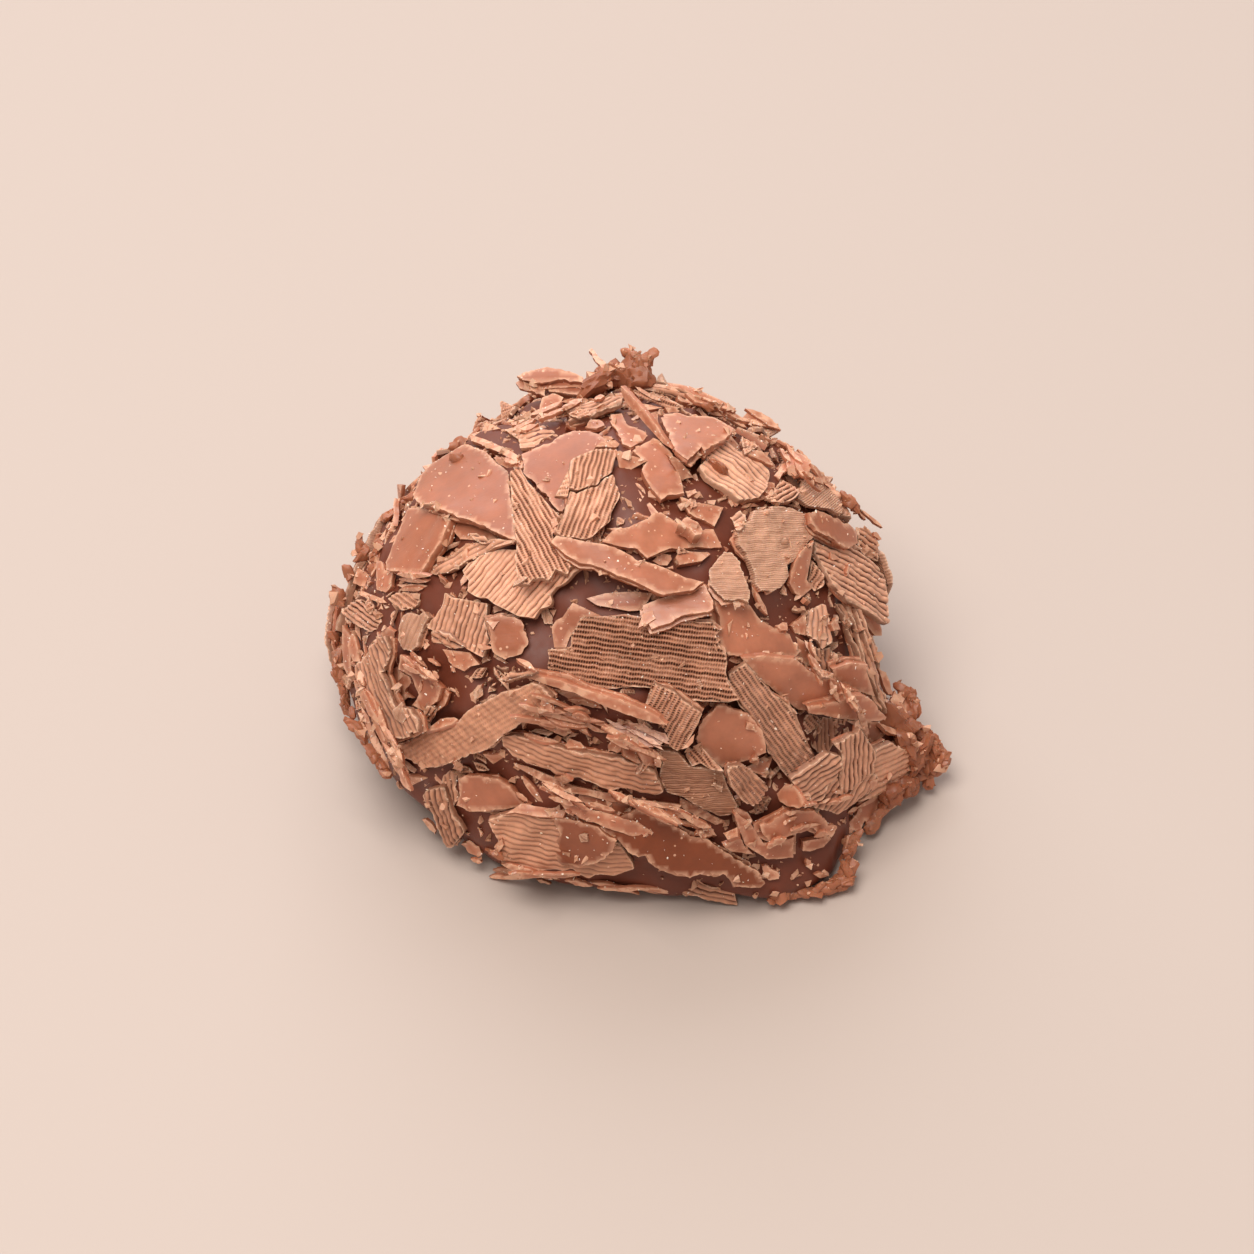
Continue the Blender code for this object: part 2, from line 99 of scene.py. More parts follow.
class Graph:
    """A node tree written in steps. Most steps give the socket that later ones read."""

    def __init__(self, tree: bpy.types.NodeTree) -> None:
        """Writes in one tree."""
        self.tree = tree

    def add(self, kind: str, inputs: dict | None = None, **settings: object) -> bpy.types.Node:
        """Adds one node.

        Args:
            kind: the node's type.
            inputs: for a socket's name or number, the value it holds or the output it is linked to.
            settings: the node's own properties.

        Returns:
            The node.
        """
        node = self.tree.nodes.new(kind)
        for name, value in settings.items():
            setattr(node, name, value)
        for socket, value in (inputs or {}).items():
            if isinstance(value, Socket):
                self.tree.links.new(value, node.inputs[socket])
            else:
                node.inputs[socket].default_value = value
        return node

    def step(self, kind: str, inputs: dict | None = None, **settings: object) -> Socket:
        """Adds one node and gives its first output."""
        return self.add(kind, inputs, **settings).outputs[0]

    def calc(self, operation: str, *values: Input) -> Socket:
        """One step of arithmetic."""
        return self.step("ShaderNodeMath", dict(enumerate(values)), operation=operation)

    def product(self, *values: Input) -> Socket:
        """Several numbers multiplied, from left to right."""
        return reduce(partial(self.calc, "MULTIPLY"), values)

    def vector(self, operation: str, first: Input, second: Input) -> Socket:
        """One step of arithmetic with vectors. SCALE takes a vector and a number."""
        inputs = {0: first, "Scale" if operation == "SCALE" else 1: second}
        return self.step("ShaderNodeVectorMath", inputs, operation=operation)

    def ranged(
        self, value: Input, low: Input, high: Input, to_low: float = 0.0, to_high: float = 1.0
    ) -> Socket:
        """A value carried over from one range to another, and kept within it."""
        inputs = {"Value": value, "From Min": low, "From Max": high, "To Min": to_low, "To Max": to_high}
        return self.step("ShaderNodeMapRange", inputs)

    def random(self, low: Input, high: Input, seed: Socket | int) -> Socket:
        """A random number, or a random vector where the limits are vectors.

        Args:
            low: the least, a number or a vector.
            high: the most.
            seed: the seed of the draw.

        Returns:
            The random value.
        """
        kind = "FunctionNodeRandomValue"
        if isinstance(low, tuple):
            return self.step(kind, {0: low, 1: high, "Seed": seed}, data_type="FLOAT_VECTOR")
        return self.add(kind, {2: low, 3: high, "Seed": seed}, data_type="FLOAT").outputs[1]

    def read(self, name: str, kind: str = "FLOAT") -> Socket:
        """An attribute of the mesh, in a geometry tree."""
        node = self.add("GeometryNodeInputNamedAttribute", {"Name": name}, data_type=kind)
        return node.outputs["Attribute"]

    def store(self, geometry: Input, name: str, value: Input, domain: str = "POINT") -> Socket:
        """Keeps a number with each point or each instance."""
        inputs = {"Geometry": geometry, "Name": name, "Value": value}
        return self.step("GeometryNodeStoreNamedAttribute", inputs, data_type="FLOAT", domain=domain)

    def hand_out(self, geometry: Input, material: Input) -> bpy.types.NodeTree:
        """Ends a geometry tree with a mesh in its material, and gives the tree.

        Args:
            geometry: the mesh.
            material: its material.

        Returns:
            The finished tree.
        """
        dressed = self.step("GeometryNodeSetMaterial", {"Geometry": geometry, "Material": material})
        self.add("NodeGroupOutput", {0: dressed})
        return self.tree


def geometry_graph(name: str, sizes: tuple[str, ...]) -> tuple[Graph, bpy.types.bpy_prop_collection]:
    """Starts a tree that changes a mesh.

    Args:
        name: the tree's name.
        sizes: the names of the numbers that it takes, besides its seed and its material.

    Returns:
        The graph, and its inputs by name.
    """
    tree = bpy.data.node_groups.new(name, "GeometryNodeTree")
    kinds = {"Geometry": "Geometry", **dict.fromkeys(sizes, "Float"), "Seed": "Int", "Material": "Material"}
    for label, kind in kinds.items():
        tree.interface.new_socket(name=label, in_out="INPUT", socket_type=f"NodeSocket{kind}")
    tree.interface.new_socket(name="Geometry", in_out="OUTPUT", socket_type="NodeSocketGeometry")
    graph = Graph(tree)
    return graph, graph.add("NodeGroupInput").outputs


def placed(name: str, data: bpy.types.ID) -> bpy.types.Object:
    """Puts a mesh, a light or a camera in the scene as an object.

    Args:
        name: the object's name.
        data: what it shows.

    Returns:
        The object.
    """
    made = bpy.data.objects.new(name, data)
    bpy.context.scene.collection.objects.link(made)
    return made


def mesh_object(name: str, bm: bmesh.types.BMesh) -> bpy.types.Object:
    """Puts a loose mesh in the scene as an object, and frees it.

    Args:
        name: the object's name.
        bm: the loose mesh.

    Returns:
        The object.
    """
    mesh = bpy.data.meshes.new(name)
    bm.to_mesh(mesh)
    bm.free()
    return placed(name, mesh)


# Flakes as shapes


def direction(angle: float) -> np.ndarray:
    """The unit vector at an angle."""
    return np.array([math.cos(angle), math.sin(angle)])


def left_of(vector: np.ndarray) -> np.ndarray:
    """A vector turned a quarter to the left."""
    return np.array([-vector[1], vector[0]])


def curve_terms(u: np.ndarray, v: np.ndarray) -> np.ndarray:
    """1, u, v, uu, uv and vv at each place."""
    return np.stack([np.ones_like(u), u, v, u * u, u * v, v * v], 1)


def grid_over(loop: np.ndarray, step: float) -> np.ndarray:
    """A square grid of places over the box round an outline."""
    low, high = loop.min(0), loop.max(0)
    return np.stack(np.meshgrid(*(np.arange(a, b, step) for a, b in zip(low, high))), -1).reshape(-1, 2)


@dataclass
class Plate:
    """One flake as a shape: a plane, an outline in it in millimetres, and how it bends and how thick it is.

    `bend` holds the weights of 1, u, v, uu, uv and vv in the height of the top over the plane.
    """

    point: Vector
    along: Vector
    normal: Vector
    corners: np.ndarray
    bend: np.ndarray
    thickness: float
    face: Face
    seed: int
    rib_turn: float = 0.0
    tone: float = 0.0
    pitch: float = 0.28
    relief: float = 1.0

    def __post_init__(self) -> None:
        """Squares the frame up, and makes the outline run anticlockwise."""
        self.normal = self.normal.normalized()
        self.along = (self.along - self.normal * self.along.dot(self.normal)).normalized()
        self.across = self.normal.cross(self.along)
        if signed_area(self.corners) < 0:
            self.corners = self.corners[::-1].copy()

    def height(self, flat: np.ndarray) -> np.ndarray:
        """The height of the bent top over the plane at each (u, v)."""
        return curve_terms(flat[:, 0], flat[:, 1]) @ self.bend

    def world(self, flat: np.ndarray, height: np.ndarray) -> np.ndarray:
        """Points in millimetres, for each (u, v) and height over the plane."""
        axes = np.array([self.along, self.across, self.normal])
        return np.array(self.point) + np.column_stack([flat, height]) @ axes

    def seen(self, places: np.ndarray) -> np.ndarray:
        """Where the lines of sight through places on the sheet meet the bent top, as (u, v).

        Args:
            places: points on the sheet, in millimetres right and up of its middle.

        Returns:
            The points on the top, (u, v).
        """
        sheet = np.array(VIEW_CENTRE) + places @ np.array([RIGHT, UP])
        ways = sheet - np.array(EYE)
        normal = np.array(self.normal)
        axes = np.array([self.along, self.across]).T
        height = np.zeros(len(places))
        for _ in range(3):
            share = ((np.array(self.point - EYE)) @ normal + height) / (ways @ normal)
            flat = (np.array(EYE) + ways * share[:, None] - np.array(self.point)) @ axes
            height = self.height(flat)
        return flat

    def slab(self) -> tuple[list[Vector], list[list[int]]]:
        """The flake as a plain slab, for rays and overlap tests: (points, faces).

        Returns:
            Its points, and its faces as rows of their numbers.
        """
        top = self.world(self.corners, self.height(self.corners))
        bottom = self.world(self.corners, self.height(self.corners) - self.thickness)
        count = len(self.corners)
        cap = tessellate_polygon([[Vector((u, v, 0.0)) for u, v in self.corners]])
        cap = [face if signed_area(self.corners[list(face)]) > 0 else face[::-1] for face in cap]
        faces = [list(face) for face in cap] + [[k + count for k in reversed(face)] for face in cap]
        for k in range(count):
            after = (k + 1) % count
            faces.append([k, k + count, after + count, after])
        return [Vector(p) for p in (*top, *bottom)], faces


def signed_area(loop: np.ndarray) -> float:
    """The area inside a closed outline, below 0 if it runs clockwise."""
    after = np.roll(loop, -1, 0)
    return float((loop[:, 0] * after[:, 1] - after[:, 0] * loop[:, 1]).sum() / 2)


def inside(loop: np.ndarray, flat: np.ndarray) -> np.ndarray:
    """Which places lie inside a closed outline, by counting the sides crossed.

    Args:
        loop: the outline's points, (u, v) in millimetres.
        flat: the places, (u, v) in millimetres.

    Returns:
        Whether each place is inside.
    """
    ends = np.roll(loop, -1, 0)
    u, v = flat[:, :1], flat[:, 1:]
    spans = (loop[:, 1] > v) != (ends[:, 1] > v)
    rise = np.where(ends[:, 1] == loop[:, 1], 1e-12, ends[:, 1] - loop[:, 1])
    crossing = loop[:, 0] + (v - loop[:, 1]) / rise * (ends[:, 0] - loop[:, 0])
    return ((spans & (u < crossing)).sum(1) % 2).astype(bool)


def distance_to(loop: np.ndarray, flat: np.ndarray) -> np.ndarray:
    """How far each place is from a closed outline.

    Args:
        loop: the outline's points, (u, v) in millimetres.
        flat: the places, (u, v) in millimetres.

    Returns:
        The distances in millimetres.
    """
    ends = np.roll(loop, -1, 0)
    side = ends - loop
    away = flat[:, None, :] - loop[None]
    share = (away * side).sum(2) / np.maximum((side * side).sum(1), 1e-12)
    gap = away - np.clip(share, 0, 1)[..., None] * side
    return np.sqrt((gap * gap).sum(2).min(1))


def smooth_noise(chance: np.random.Generator, count: int, window: float) -> np.ndarray:
    """Random values round a loop, with no steps, about 1 in size.

    Args:
        chance: the source of random numbers.
        count: how many values.
        window: how many values a swell is wide.

    Returns:
        The values.
    """
    reach = int(max(1, min(window * 2, count // 2 - 1)))
    weights = np.exp(-((np.arange(-reach, reach + 1) / max(window, 0.5)) ** 2))
    raw = chance.normal(size=count)
    padded = np.concatenate([raw[-reach:], raw, raw[:reach]])
    return np.convolve(padded, weights / np.sqrt((weights**2).sum()), "valid")


def swells(chance: np.random.Generator, flat: np.ndarray, length: float, count: int = 6) -> np.ndarray:
    """Gentle waves crossing at random, about 1 in size.

    Args:
        chance: the source of random numbers.
        flat: the places.
        length: the waves' length.
        count: how many waves are added up.

    Returns:
        The height at each place.
    """
    total = np.zeros(len(flat))
    for _ in range(count):
        heading, start = chance.uniform(0, math.tau, 2)
        across = flat[:, 0] * math.cos(heading) + flat[:, 1] * math.sin(heading)
        total += np.sin(across / length * math.tau * chance.uniform(0.6, 1.5) + start)
    return total / math.sqrt(count / 2)


@dataclass(frozen=True)
class Cut:
    """How finely a kind of face is cut, and how its edges broke. Sizes are in millimetres.

    `rows` is how many rows of points there are to one rib, and `row` the gap where there are no ribs.
    """

    rows: int
    row: float
    step: float
    edge: float
    fray: float
    nibble: float
    swell: float


CUTS = {
    Face.RIBBED: Cut(rows=4, row=0.0, step=0.15, edge=0.09, fray=0.45, nibble=0.035, swell=0.05),
    Face.SMOOTH: Cut(rows=0, row=0.34, step=0.34, edge=0.17, fray=0.0, nibble=0.035, swell=0.02),
    Face.GRAINED: Cut(rows=0, row=0.11, step=0.16, edge=0.10, fray=0.10, nibble=0.05, swell=0.04),
}


def outward_of(loop: np.ndarray) -> np.ndarray:
    """The unit normals of an anticlockwise outline, at its points.

    Args:
        loop: the outline's points, (u, v) in millimetres.

    Returns:
        One normal for each point.
    """
    tangent = np.roll(loop, -1, 0) - np.roll(loop, 1, 0)
    tangent /= np.maximum(np.hypot(*tangent.T)[:, None], 1e-9)
    return np.column_stack([tangent[:, 1], -tangent[:, 0]])


class FlakeShaper:
    """Cuts plates into closed, detailed meshes, and gathers them in one mesh."""

    WALL_SHARES = (0.3, 0.65, 1.0)
    WALL_SCRAPED = (0.5, 0.2, 0.0)
    # How much of the pale rim colour, which is partly a painted highlight, each ring of the wall takes.
    WALL_RIM = (0.35, 0.0, 0.0)
    BOTTOM_STEP = 0.9
    RIM_WIDTH = 0.09
    RIM_DROP = 0.02
    UNDERCUT = 0.06
    # Shares of a flake's mean width that its breaks and its uneven wall may take up.
    DEEPEST_BREAK = 0.3
    WIDEST_JUT = 0.1
    # More ribs than any flake has: each has an end of its own length.
    FRAYED_RIBS = 4001
    MOST_NOTCHES = 5
    NOTCH_REACH = (0.1, 0.35)
    NOTCH_DEPTH = (0.08, 0.3)
    FINE_JUT = 0.03
    COARSE_JUT = 0.025
    LONG_SWELL = (1.6, 3.2)
    SHORT_SWELL = 0.8

    def __init__(self) -> None:
        """Starts with no points."""
        self.points: list[np.ndarray] = []
        self.faces: list[list[int]] = []
        self.values: dict[str, list[np.ndarray]] = {}
        self.count = 0

    def broken_outline(self, plate: Plate, chance: np.random.Generator, share: float) -> np.ndarray:
        """The plate's outline as it broke: nibbled everywhere, and frayed where ribs end.

        Args:
            plate: the flake.
            chance: the source of random numbers.
            share: how much of the breaking is done, from 0 to 1.

        Returns:
            The outline's points, going round anticlockwise.
        """
        cut = CUTS[plate.face]
        sides = np.roll(plate.corners, -1, 0) - plate.corners
        points = []
        for corner, side in zip(plate.corners, sides):
            steps = max(2, round(float(np.hypot(*side)) / cut.edge))
            points += [corner + side * k / steps for k in range(steps)]
        loop = np.array(points)
        if plate.face is Face.RIBBED:
            loop = (np.roll(loop, 1, 0) + 2 * loop + np.roll(loop, -1, 0)) / 4
        outward = outward_of(loop)
        around = float(np.hypot(*sides.T).sum())
        width = 2 * abs(signed_area(loop)) / around
        inset = cut.nibble * np.abs(smooth_noise(chance, len(loop), 0.8))
        inset += cut.nibble * 1.6 * np.abs(smooth_noise(chance, len(loop), 4.0))
        stations = np.arange(len(loop)) * cut.edge
        for _ in range(chance.integers(1, self.MOST_NOTCHES)):
            reach = chance.uniform(*self.NOTCH_REACH)
            apart = np.abs(stations - chance.uniform(0, len(loop) * cut.edge))
            apart = np.minimum(apart, len(loop) * cut.edge - apart)
            inset += chance.uniform(*self.NOTCH_DEPTH) * min(1, width / 1.5) * np.exp(-((apart / reach) ** 2))
        if cut.fray:
            heading = direction(plate.rib_turn)
            number = np.floor(loop @ left_of(heading) / plate.pitch).astype(int)
            lengths = chance.uniform(0, 1, self.FRAYED_RIBS) ** 1.5
            facing = np.abs(outward @ heading) ** 2
            inset += cut.fray * min(1, width / 1.2) * facing * lengths[number % self.FRAYED_RIBS]
        return loop - outward * (share * np.minimum(inset, width * self.DEEPEST_BREAK))[:, None]

    def top_grid(self, plate: Plate, loop: np.ndarray) -> np.ndarray:
        """Places spread over the inside of the outline, in rows along the ribs.

        Args:
            plate: the flake.
            loop: the outline's points, (u, v) in millimetres.

        Returns:
            The places, (u, v).
        """
        cut = CUTS[plate.face]
        gap = plate.pitch / cut.rows if cut.rows else cut.row
        heading = direction(plate.rib_turn)
        axes = np.array([heading, left_of(heading)])
        turned = loop @ axes.T
        low, high = turned.min(0), turned.max(0)
        rows = np.arange(math.floor(low[1] / gap), math.ceil(high[1] / gap) + 1)
        steps = np.arange(low[0], high[0], cut.step)
        run, row = np.meshgrid(steps, rows * gap)
        run = run + (np.arange(len(rows)) % 2)[:, None] * cut.step / 2
        flat = np.column_stack([run.ravel(), row.ravel()]) @ axes
        flat = flat[inside(loop, flat)]
        return flat[distance_to(loop, flat) > 0.4 * min(gap, cut.step)] if len(flat) else flat

    def fill(self, loop: np.ndarray, inner: np.ndarray) -> list[list[int]] | None:
        """Triangles over an outline and the places inside it, or None where the outline crosses itself.

        Args:
            loop: the outline's points, (u, v) in millimetres.
            inner: the places inside it.

        Returns:
            Rows of point numbers, the outline's first.
        """
        points = [Vector(p) for p in (*loop, *inner)]
        found = delaunay_2d_cdt(points, [], [list(range(len(loop)))], 1, 1e-7, True)
        origin = [source[0] if source else -1 for source in found[3]]
        faces = [[origin[k] for k in face] for face in found[2]]
        if min(min(face) for face in faces) < 0 or len(set(origin)) < len(origin):
            return None
        flat = np.vstack([loop, inner]) if len(inner) else loop
        within = inside(loop, flat[np.array(faces)].mean(1))
        faces = [face for face, kept in zip(faces, within) if kept]
        if abs(sum(abs(signed_area(flat[face])) for face in faces) - abs(signed_area(loop))) > 1e-4:
            return None
        return [face if signed_area(flat[face]) > 0 else face[::-1] for face in faces]

    def cut(self, plate: Plate, share: float) -> bool:
        """Cuts one plate and adds it, unless its outline crosses itself.

        Args:
            plate: the flake.
            share: how much its edge is broken, from 0 to 1.

        Returns:
            Whether it was added.
        """
        chance = np.random.default_rng(plate.seed)
        kind = CUTS[plate.face]
        loop = self.broken_outline(plate, chance, share)
        inner = self.top_grid(plate, loop)
        count = len(loop)
        top_faces = self.fill(loop, inner)
        outward = outward_of(loop)
        width = 2 * abs(signed_area(loop)) / (count * kind.edge)
        widest = width * self.WIDEST_JUT
        undercut = share * min(self.UNDERCUT, widest)
        rings = []
        for depth in self.WALL_SHARES:
            jut = self.FINE_JUT * smooth_noise(chance, count, 0.7)
            jut += self.COARSE_JUT * smooth_noise(chance, count, 3.0)
            jut = np.clip(jut * share, -widest, widest)
            rings.append(loop + outward * (jut - undercut * depth)[:, None])
        under = grid_over(rings[-1], self.BOTTOM_STEP)
        under = under[inside(rings[-1], under)]
        under = under[distance_to(rings[-1], under) > 0.2] if len(under) else under
        under_faces = self.fill(rings[-1], under)
        if top_faces is None or under_faces is None:
            return False
        flat = np.vstack([loop, inner]) if len(inner) else loop
        swell = kind.swell * swells(chance, flat, chance.uniform(*self.LONG_SWELL))
        swell += kind.swell * 0.5 * swells(chance, flat, self.SHORT_SWELL)
        rim = np.clip(1 - distance_to(loop, flat) / self.RIM_WIDTH, 0, 1)
        points = [plate.world(flat, plate.height(flat) + swell - self.RIM_DROP * rim)]
        for depth, ring in zip(self.WALL_SHARES, rings):
            drop = plate.thickness * depth + 0.025 * smooth_noise(chance, count, 1.0) * (depth < 1)
            points.append(plate.world(ring, plate.height(ring) + swell[:count] - drop))
        points.append(plate.world(under, plate.height(under) - plate.thickness))
        start = self.count
        starts = [start, *(start + len(flat) + k * count for k in range(3))]
        self.faces += [[start + k for k in face] for face in top_faces]
        for upper, lower in zip(starts, starts[1:]):
            for k in range(count):
                after = (k + 1) % count
                self.faces.append([upper + after, upper + k, lower + k, lower + after])
        self.faces += [[starts[3] + k for k in reversed(face)] for face in under_faces]
        made = np.vstack(points)
        self.points.append(made)
        self.count += len(made)
        self.store(plate, np.vstack([flat, *rings, under]), rim, count)
        return True

    def add(self, plate: Plate) -> None:
        """Adds one plate, less broken if its outline would cross itself."""
        if not any(self.cut(plate, share) for share in (1.0, 0.5, 0.0)):
            LOG.warning("a flake could not be cut: seed %d", plate.seed)

    def store(self, plate: Plate, flat: np.ndarray, rim: np.ndarray, count: int) -> None:
        """Keeps what the ribs and the finishes read at each point of the plate just added.

        Args:
            plate: the flake.
            flat: the places, (u, v) in millimetres.
            rim: how far each place of the top is from the rim.
            count: how many points the rim has.
        """
        heading = direction(plate.rib_turn)
        aside = left_of(heading)
        total = len(flat)
        tops = len(rim)
        scraped = np.zeros(total)
        scraped[:tops] = 1.0
        for k, share in enumerate(self.WALL_SCRAPED):
            scraped[tops + k * count : tops + (k + 1) * count] = share
        edge, wall = np.zeros(total), np.ones(total)
        edge[:tops], wall[:tops] = rim, 0.0
        for k, share in enumerate(self.WALL_RIM):
            edge[tops + k * count : tops + (k + 1) * count] = share
        sideways = plate.along * float(aside[0]) + plate.across * float(aside[1])
        values = {
            "rib_phase": flat @ aside / plate.pitch,
            "rib_run": flat @ heading,
            "scraped": scraped * plate.relief,
            "rim": edge,
            "wall": wall,
            "shard": np.full(total, (plate.seed * 0.6180339) % 1.0),
            "tone": np.full(total, plate.tone),
            "out": np.tile(np.array(plate.normal), (total, 1)),
            "sideways": np.tile(np.array(sideways), (total, 1)),
        }
        for name, value in values.items():
            self.values.setdefault(name, []).append(value)

    def piece(self, name: str) -> bpy.types.Object:
        """The gathered mesh as an object.

        Args:
            name: the piece's name.

        Returns:
            The object, in metres.
        """
        mesh = bpy.data.meshes.new(name)
        points = np.vstack(self.points) * MM
        mesh.from_pydata(points.tolist(), [], self.faces)
        for label, parts in self.values.items():
            joined = np.concatenate(parts).astype(np.float32)
            kind, key = ("FLOAT_VECTOR", "vector") if joined.ndim == 2 else ("FLOAT", "value")
            mesh.attributes.new(label, kind, "POINT").data.foreach_set(key, joined.ravel())
        mesh.shade_smooth()
        return placed(name, mesh)


def merged(obj: bpy.types.Object) -> bmesh.types.BMesh:
    """A copy of a model node's mesh with its loose corners joined, in millimetres.

    Args:
        obj: the node's object.

    Returns:
        The loose mesh.
    """
    bm = bmesh.new()
    bm.from_mesh(obj.data)
    bmesh.ops.scale(bm, vec=(1 / MM,) * 3, verts=bm.verts)
    bmesh.ops.remove_doubles(bm, verts=bm.verts, dist=1e-3)
    bm.normal_update()
    return bm


def plate_of(node: str, seed: int) -> Plate:
    """Reads a large flake's plane, outline, bend and thickness back from its node.

    Args:
        node: the flake's node.
        seed: the number that its breaks and swells are drawn from.

    Returns:
        The flake as a plate.
    """
    bm = merged(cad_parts[node])
    normals = np.array([face.normal for face in bm.faces])
    areas = np.array([face.calc_area() for face in bm.faces])
    spread = (normals * areas[:, None]).T @ normals
    normal = Vector(np.linalg.eigh(spread)[1][:, -1])
    points = np.array([vertex.co for vertex in bm.verts])
    centre = Vector(points.mean(0))
    if normal.dot(centre - Vector((0, 0, 4))) < 0:
        normal = -normal
    tops = [face for face in bm.faces if face.normal.dot(normal) > 0.5]
    after = {}
    for face in tops:
        for loop in face.loops:
            if not any(other in tops for other in loop.edge.link_faces if other is not face):
                after[loop.vert] = loop.link_loop_next.vert
    walk = [min(after, key=lambda vertex: vertex.index)]
    while after.get(walk[-1]) not in (None, walk[0]) and len(walk) <= len(after):
        walk.append(after[walk[-1]])
    rim = np.array([vertex.co for vertex in walk]) - np.array(centre)
    square = rim - np.outer(rim @ np.array(normal), normal)
    along = Vector(np.linalg.eigh(square.T @ square)[1][:, -1])
    across = normal.cross(along)
    flat = np.column_stack([rim @ np.array(along), rim @ np.array(across)])
    top = np.array([v.co for v in bm.verts if any(face in tops for face in v.link_faces)]) - np.array(centre)
    u, v, w = top @ np.array(along), top @ np.array(across), top @ np.array(normal)
    terms = curve_terms(u, v)
    ridge = np.diag([0, 1e-4, 1e-4, 1e-3, 3e-2, 3e-2])
    bend = np.linalg.solve(terms.T @ terms + ridge, terms.T @ w)
    volume = bm.calc_volume()
    thickness = volume / max(abs(signed_area(flat)), 1e-6)
    bm.free()
    return Plate(centre, along, normal, flat, bend, thickness, Face(node.split("_")[0]), seed)


# Laying flakes


# How far from its aim a ray starts that comes from outside, in millimetres.
OUTSIDE = 40.0


class Pile:
    """What is laid so far, as plain slabs that rays and new pieces are tested against."""

    FAR = 60.0

    def __init__(self, body: bmesh.types.BMesh) -> None:
        """Starts with the coated body alone.

        Args:
            body: the coated body, in millimetres.
        """
        self.body = BVHTree.FromBMesh(body)
        self.points: list[Vector] = []
        self.faces: list[list[int]] = []
        self.slabs: BVHTree | None = None

    def add(self, points: list[Vector], faces: list[list[int]]) -> None:
        """Counts a slab in.

        Args:
            points: the slab's points.
            faces: its faces as rows of their numbers.
        """
        first = len(self.points)
        self.points += points
        self.faces += [[first + k for k in face] for face in faces]
        self.slabs = None

    def tree(self) -> BVHTree | None:
        """The slabs laid so far, or None before the first.

        Returns:
            A tree that answers rays and overlaps.
        """
        if self.slabs is None and self.faces:
            self.slabs = BVHTree.FromPolygons(self.points, self.faces)
        return self.slabs

    def meets(self, points: list[Vector], faces: list[list[int]]) -> bool:
        """Whether a slab cuts any other slab. The soft coating doesn't count."""
        tree = self.tree()
        return bool(tree and tree.overlap(BVHTree.FromPolygons(points, faces)))

    def hit(self, start: Vector, way: Vector, body_only: bool = False) -> tuple[Vector, Vector] | None:
        """Where a ray first meets the pile.

        Args:
            start: where the ray starts.
            way: where it goes.
            body_only: whether it passes through the slabs.

        Returns:
            The place and the way out of the pile there, or None if it misses.
        """
        trees = [self.body] if body_only else [self.body, self.tree()]
        found = [tree.ray_cast(start, way) for tree in trees if tree]
        hits = [(distance, place, normal) for place, normal, _, distance in found if place is not None]
        if not hits:
            return None
        _, place, normal = min(hits, key=lambda hit: hit[0])
        return place, normal if normal.dot(way) < 0 else -normal

    def seen(self, place: np.ndarray, body_only: bool = False) -> tuple[Vector, Vector] | None:
        """Where the line of sight through a place on the sheet meets the pile."""
        way = (VIEW_CENTRE + RIGHT * float(place[0]) + UP * float(place[1]) - EYE).normalized()
        return self.hit(EYE + way * (EYE_DISTANCE - self.FAR), way, body_only)

    def bare(self, spot: Vector, normal: Vector) -> bool:
        """Whether the body shows at a spot, with no slab over it."""
        tree = self.tree()
        return tree is None or tree.ray_cast(spot + normal * 0.01, normal, 12.0)[0] is None


def resting_slopes(points: np.ndarray, least_upward: float = 0.26) -> tuple[float, float]:
    """The slopes of the plane that a plate pressed at its middle settles in.

    It is the top side of the points' convex hull that is lowest over the middle and under no point.

    Args:
        points: (u, v, height) of what is under the plate, measured from its middle.
        least_upward: how far up a side's normal must point.

    Returns:
        The slope along u and the slope along v.
    """
    hull = bmesh.new()
    for point in points:
        hull.verts.new(point)
    bmesh.ops.convex_hull(hull, input=hull.verts, use_existing_faces=False)
    planes = [(points[:, 2].max(), 0.0, 0.0)]
    for face in hull.faces:
        face.normal_update()
        normal = face.normal if face.normal.z > 0 else -face.normal
        if normal.z < least_upward:
            continue
        base = face.verts[0].co
        along, across = -normal.x / normal.z, -normal.y / normal.z
        middle = base.z - along * base.x - across * base.y
        if (points[:, 2] - middle - points[:, 0] * along - points[:, 1] * across).max() < 0.01:
            planes.append((middle, along, across))
    hull.free()
    return min(planes)[1:]


def on_sheet(spot: Vector) -> np.ndarray:
    """Where a spot shows on the sheet, in millimetres right and up of its middle.

    Args:
        spot: a spot in millimetres.

    Returns:
        The place on the sheet.
    """
    way = spot - EYE
    shown = EYE + way * ((VIEW_CENTRE - EYE).dot(SIGHT) / way.dot(SIGHT)) - VIEW_CENTRE
    return np.array([shown.dot(RIGHT), shown.dot(UP)])


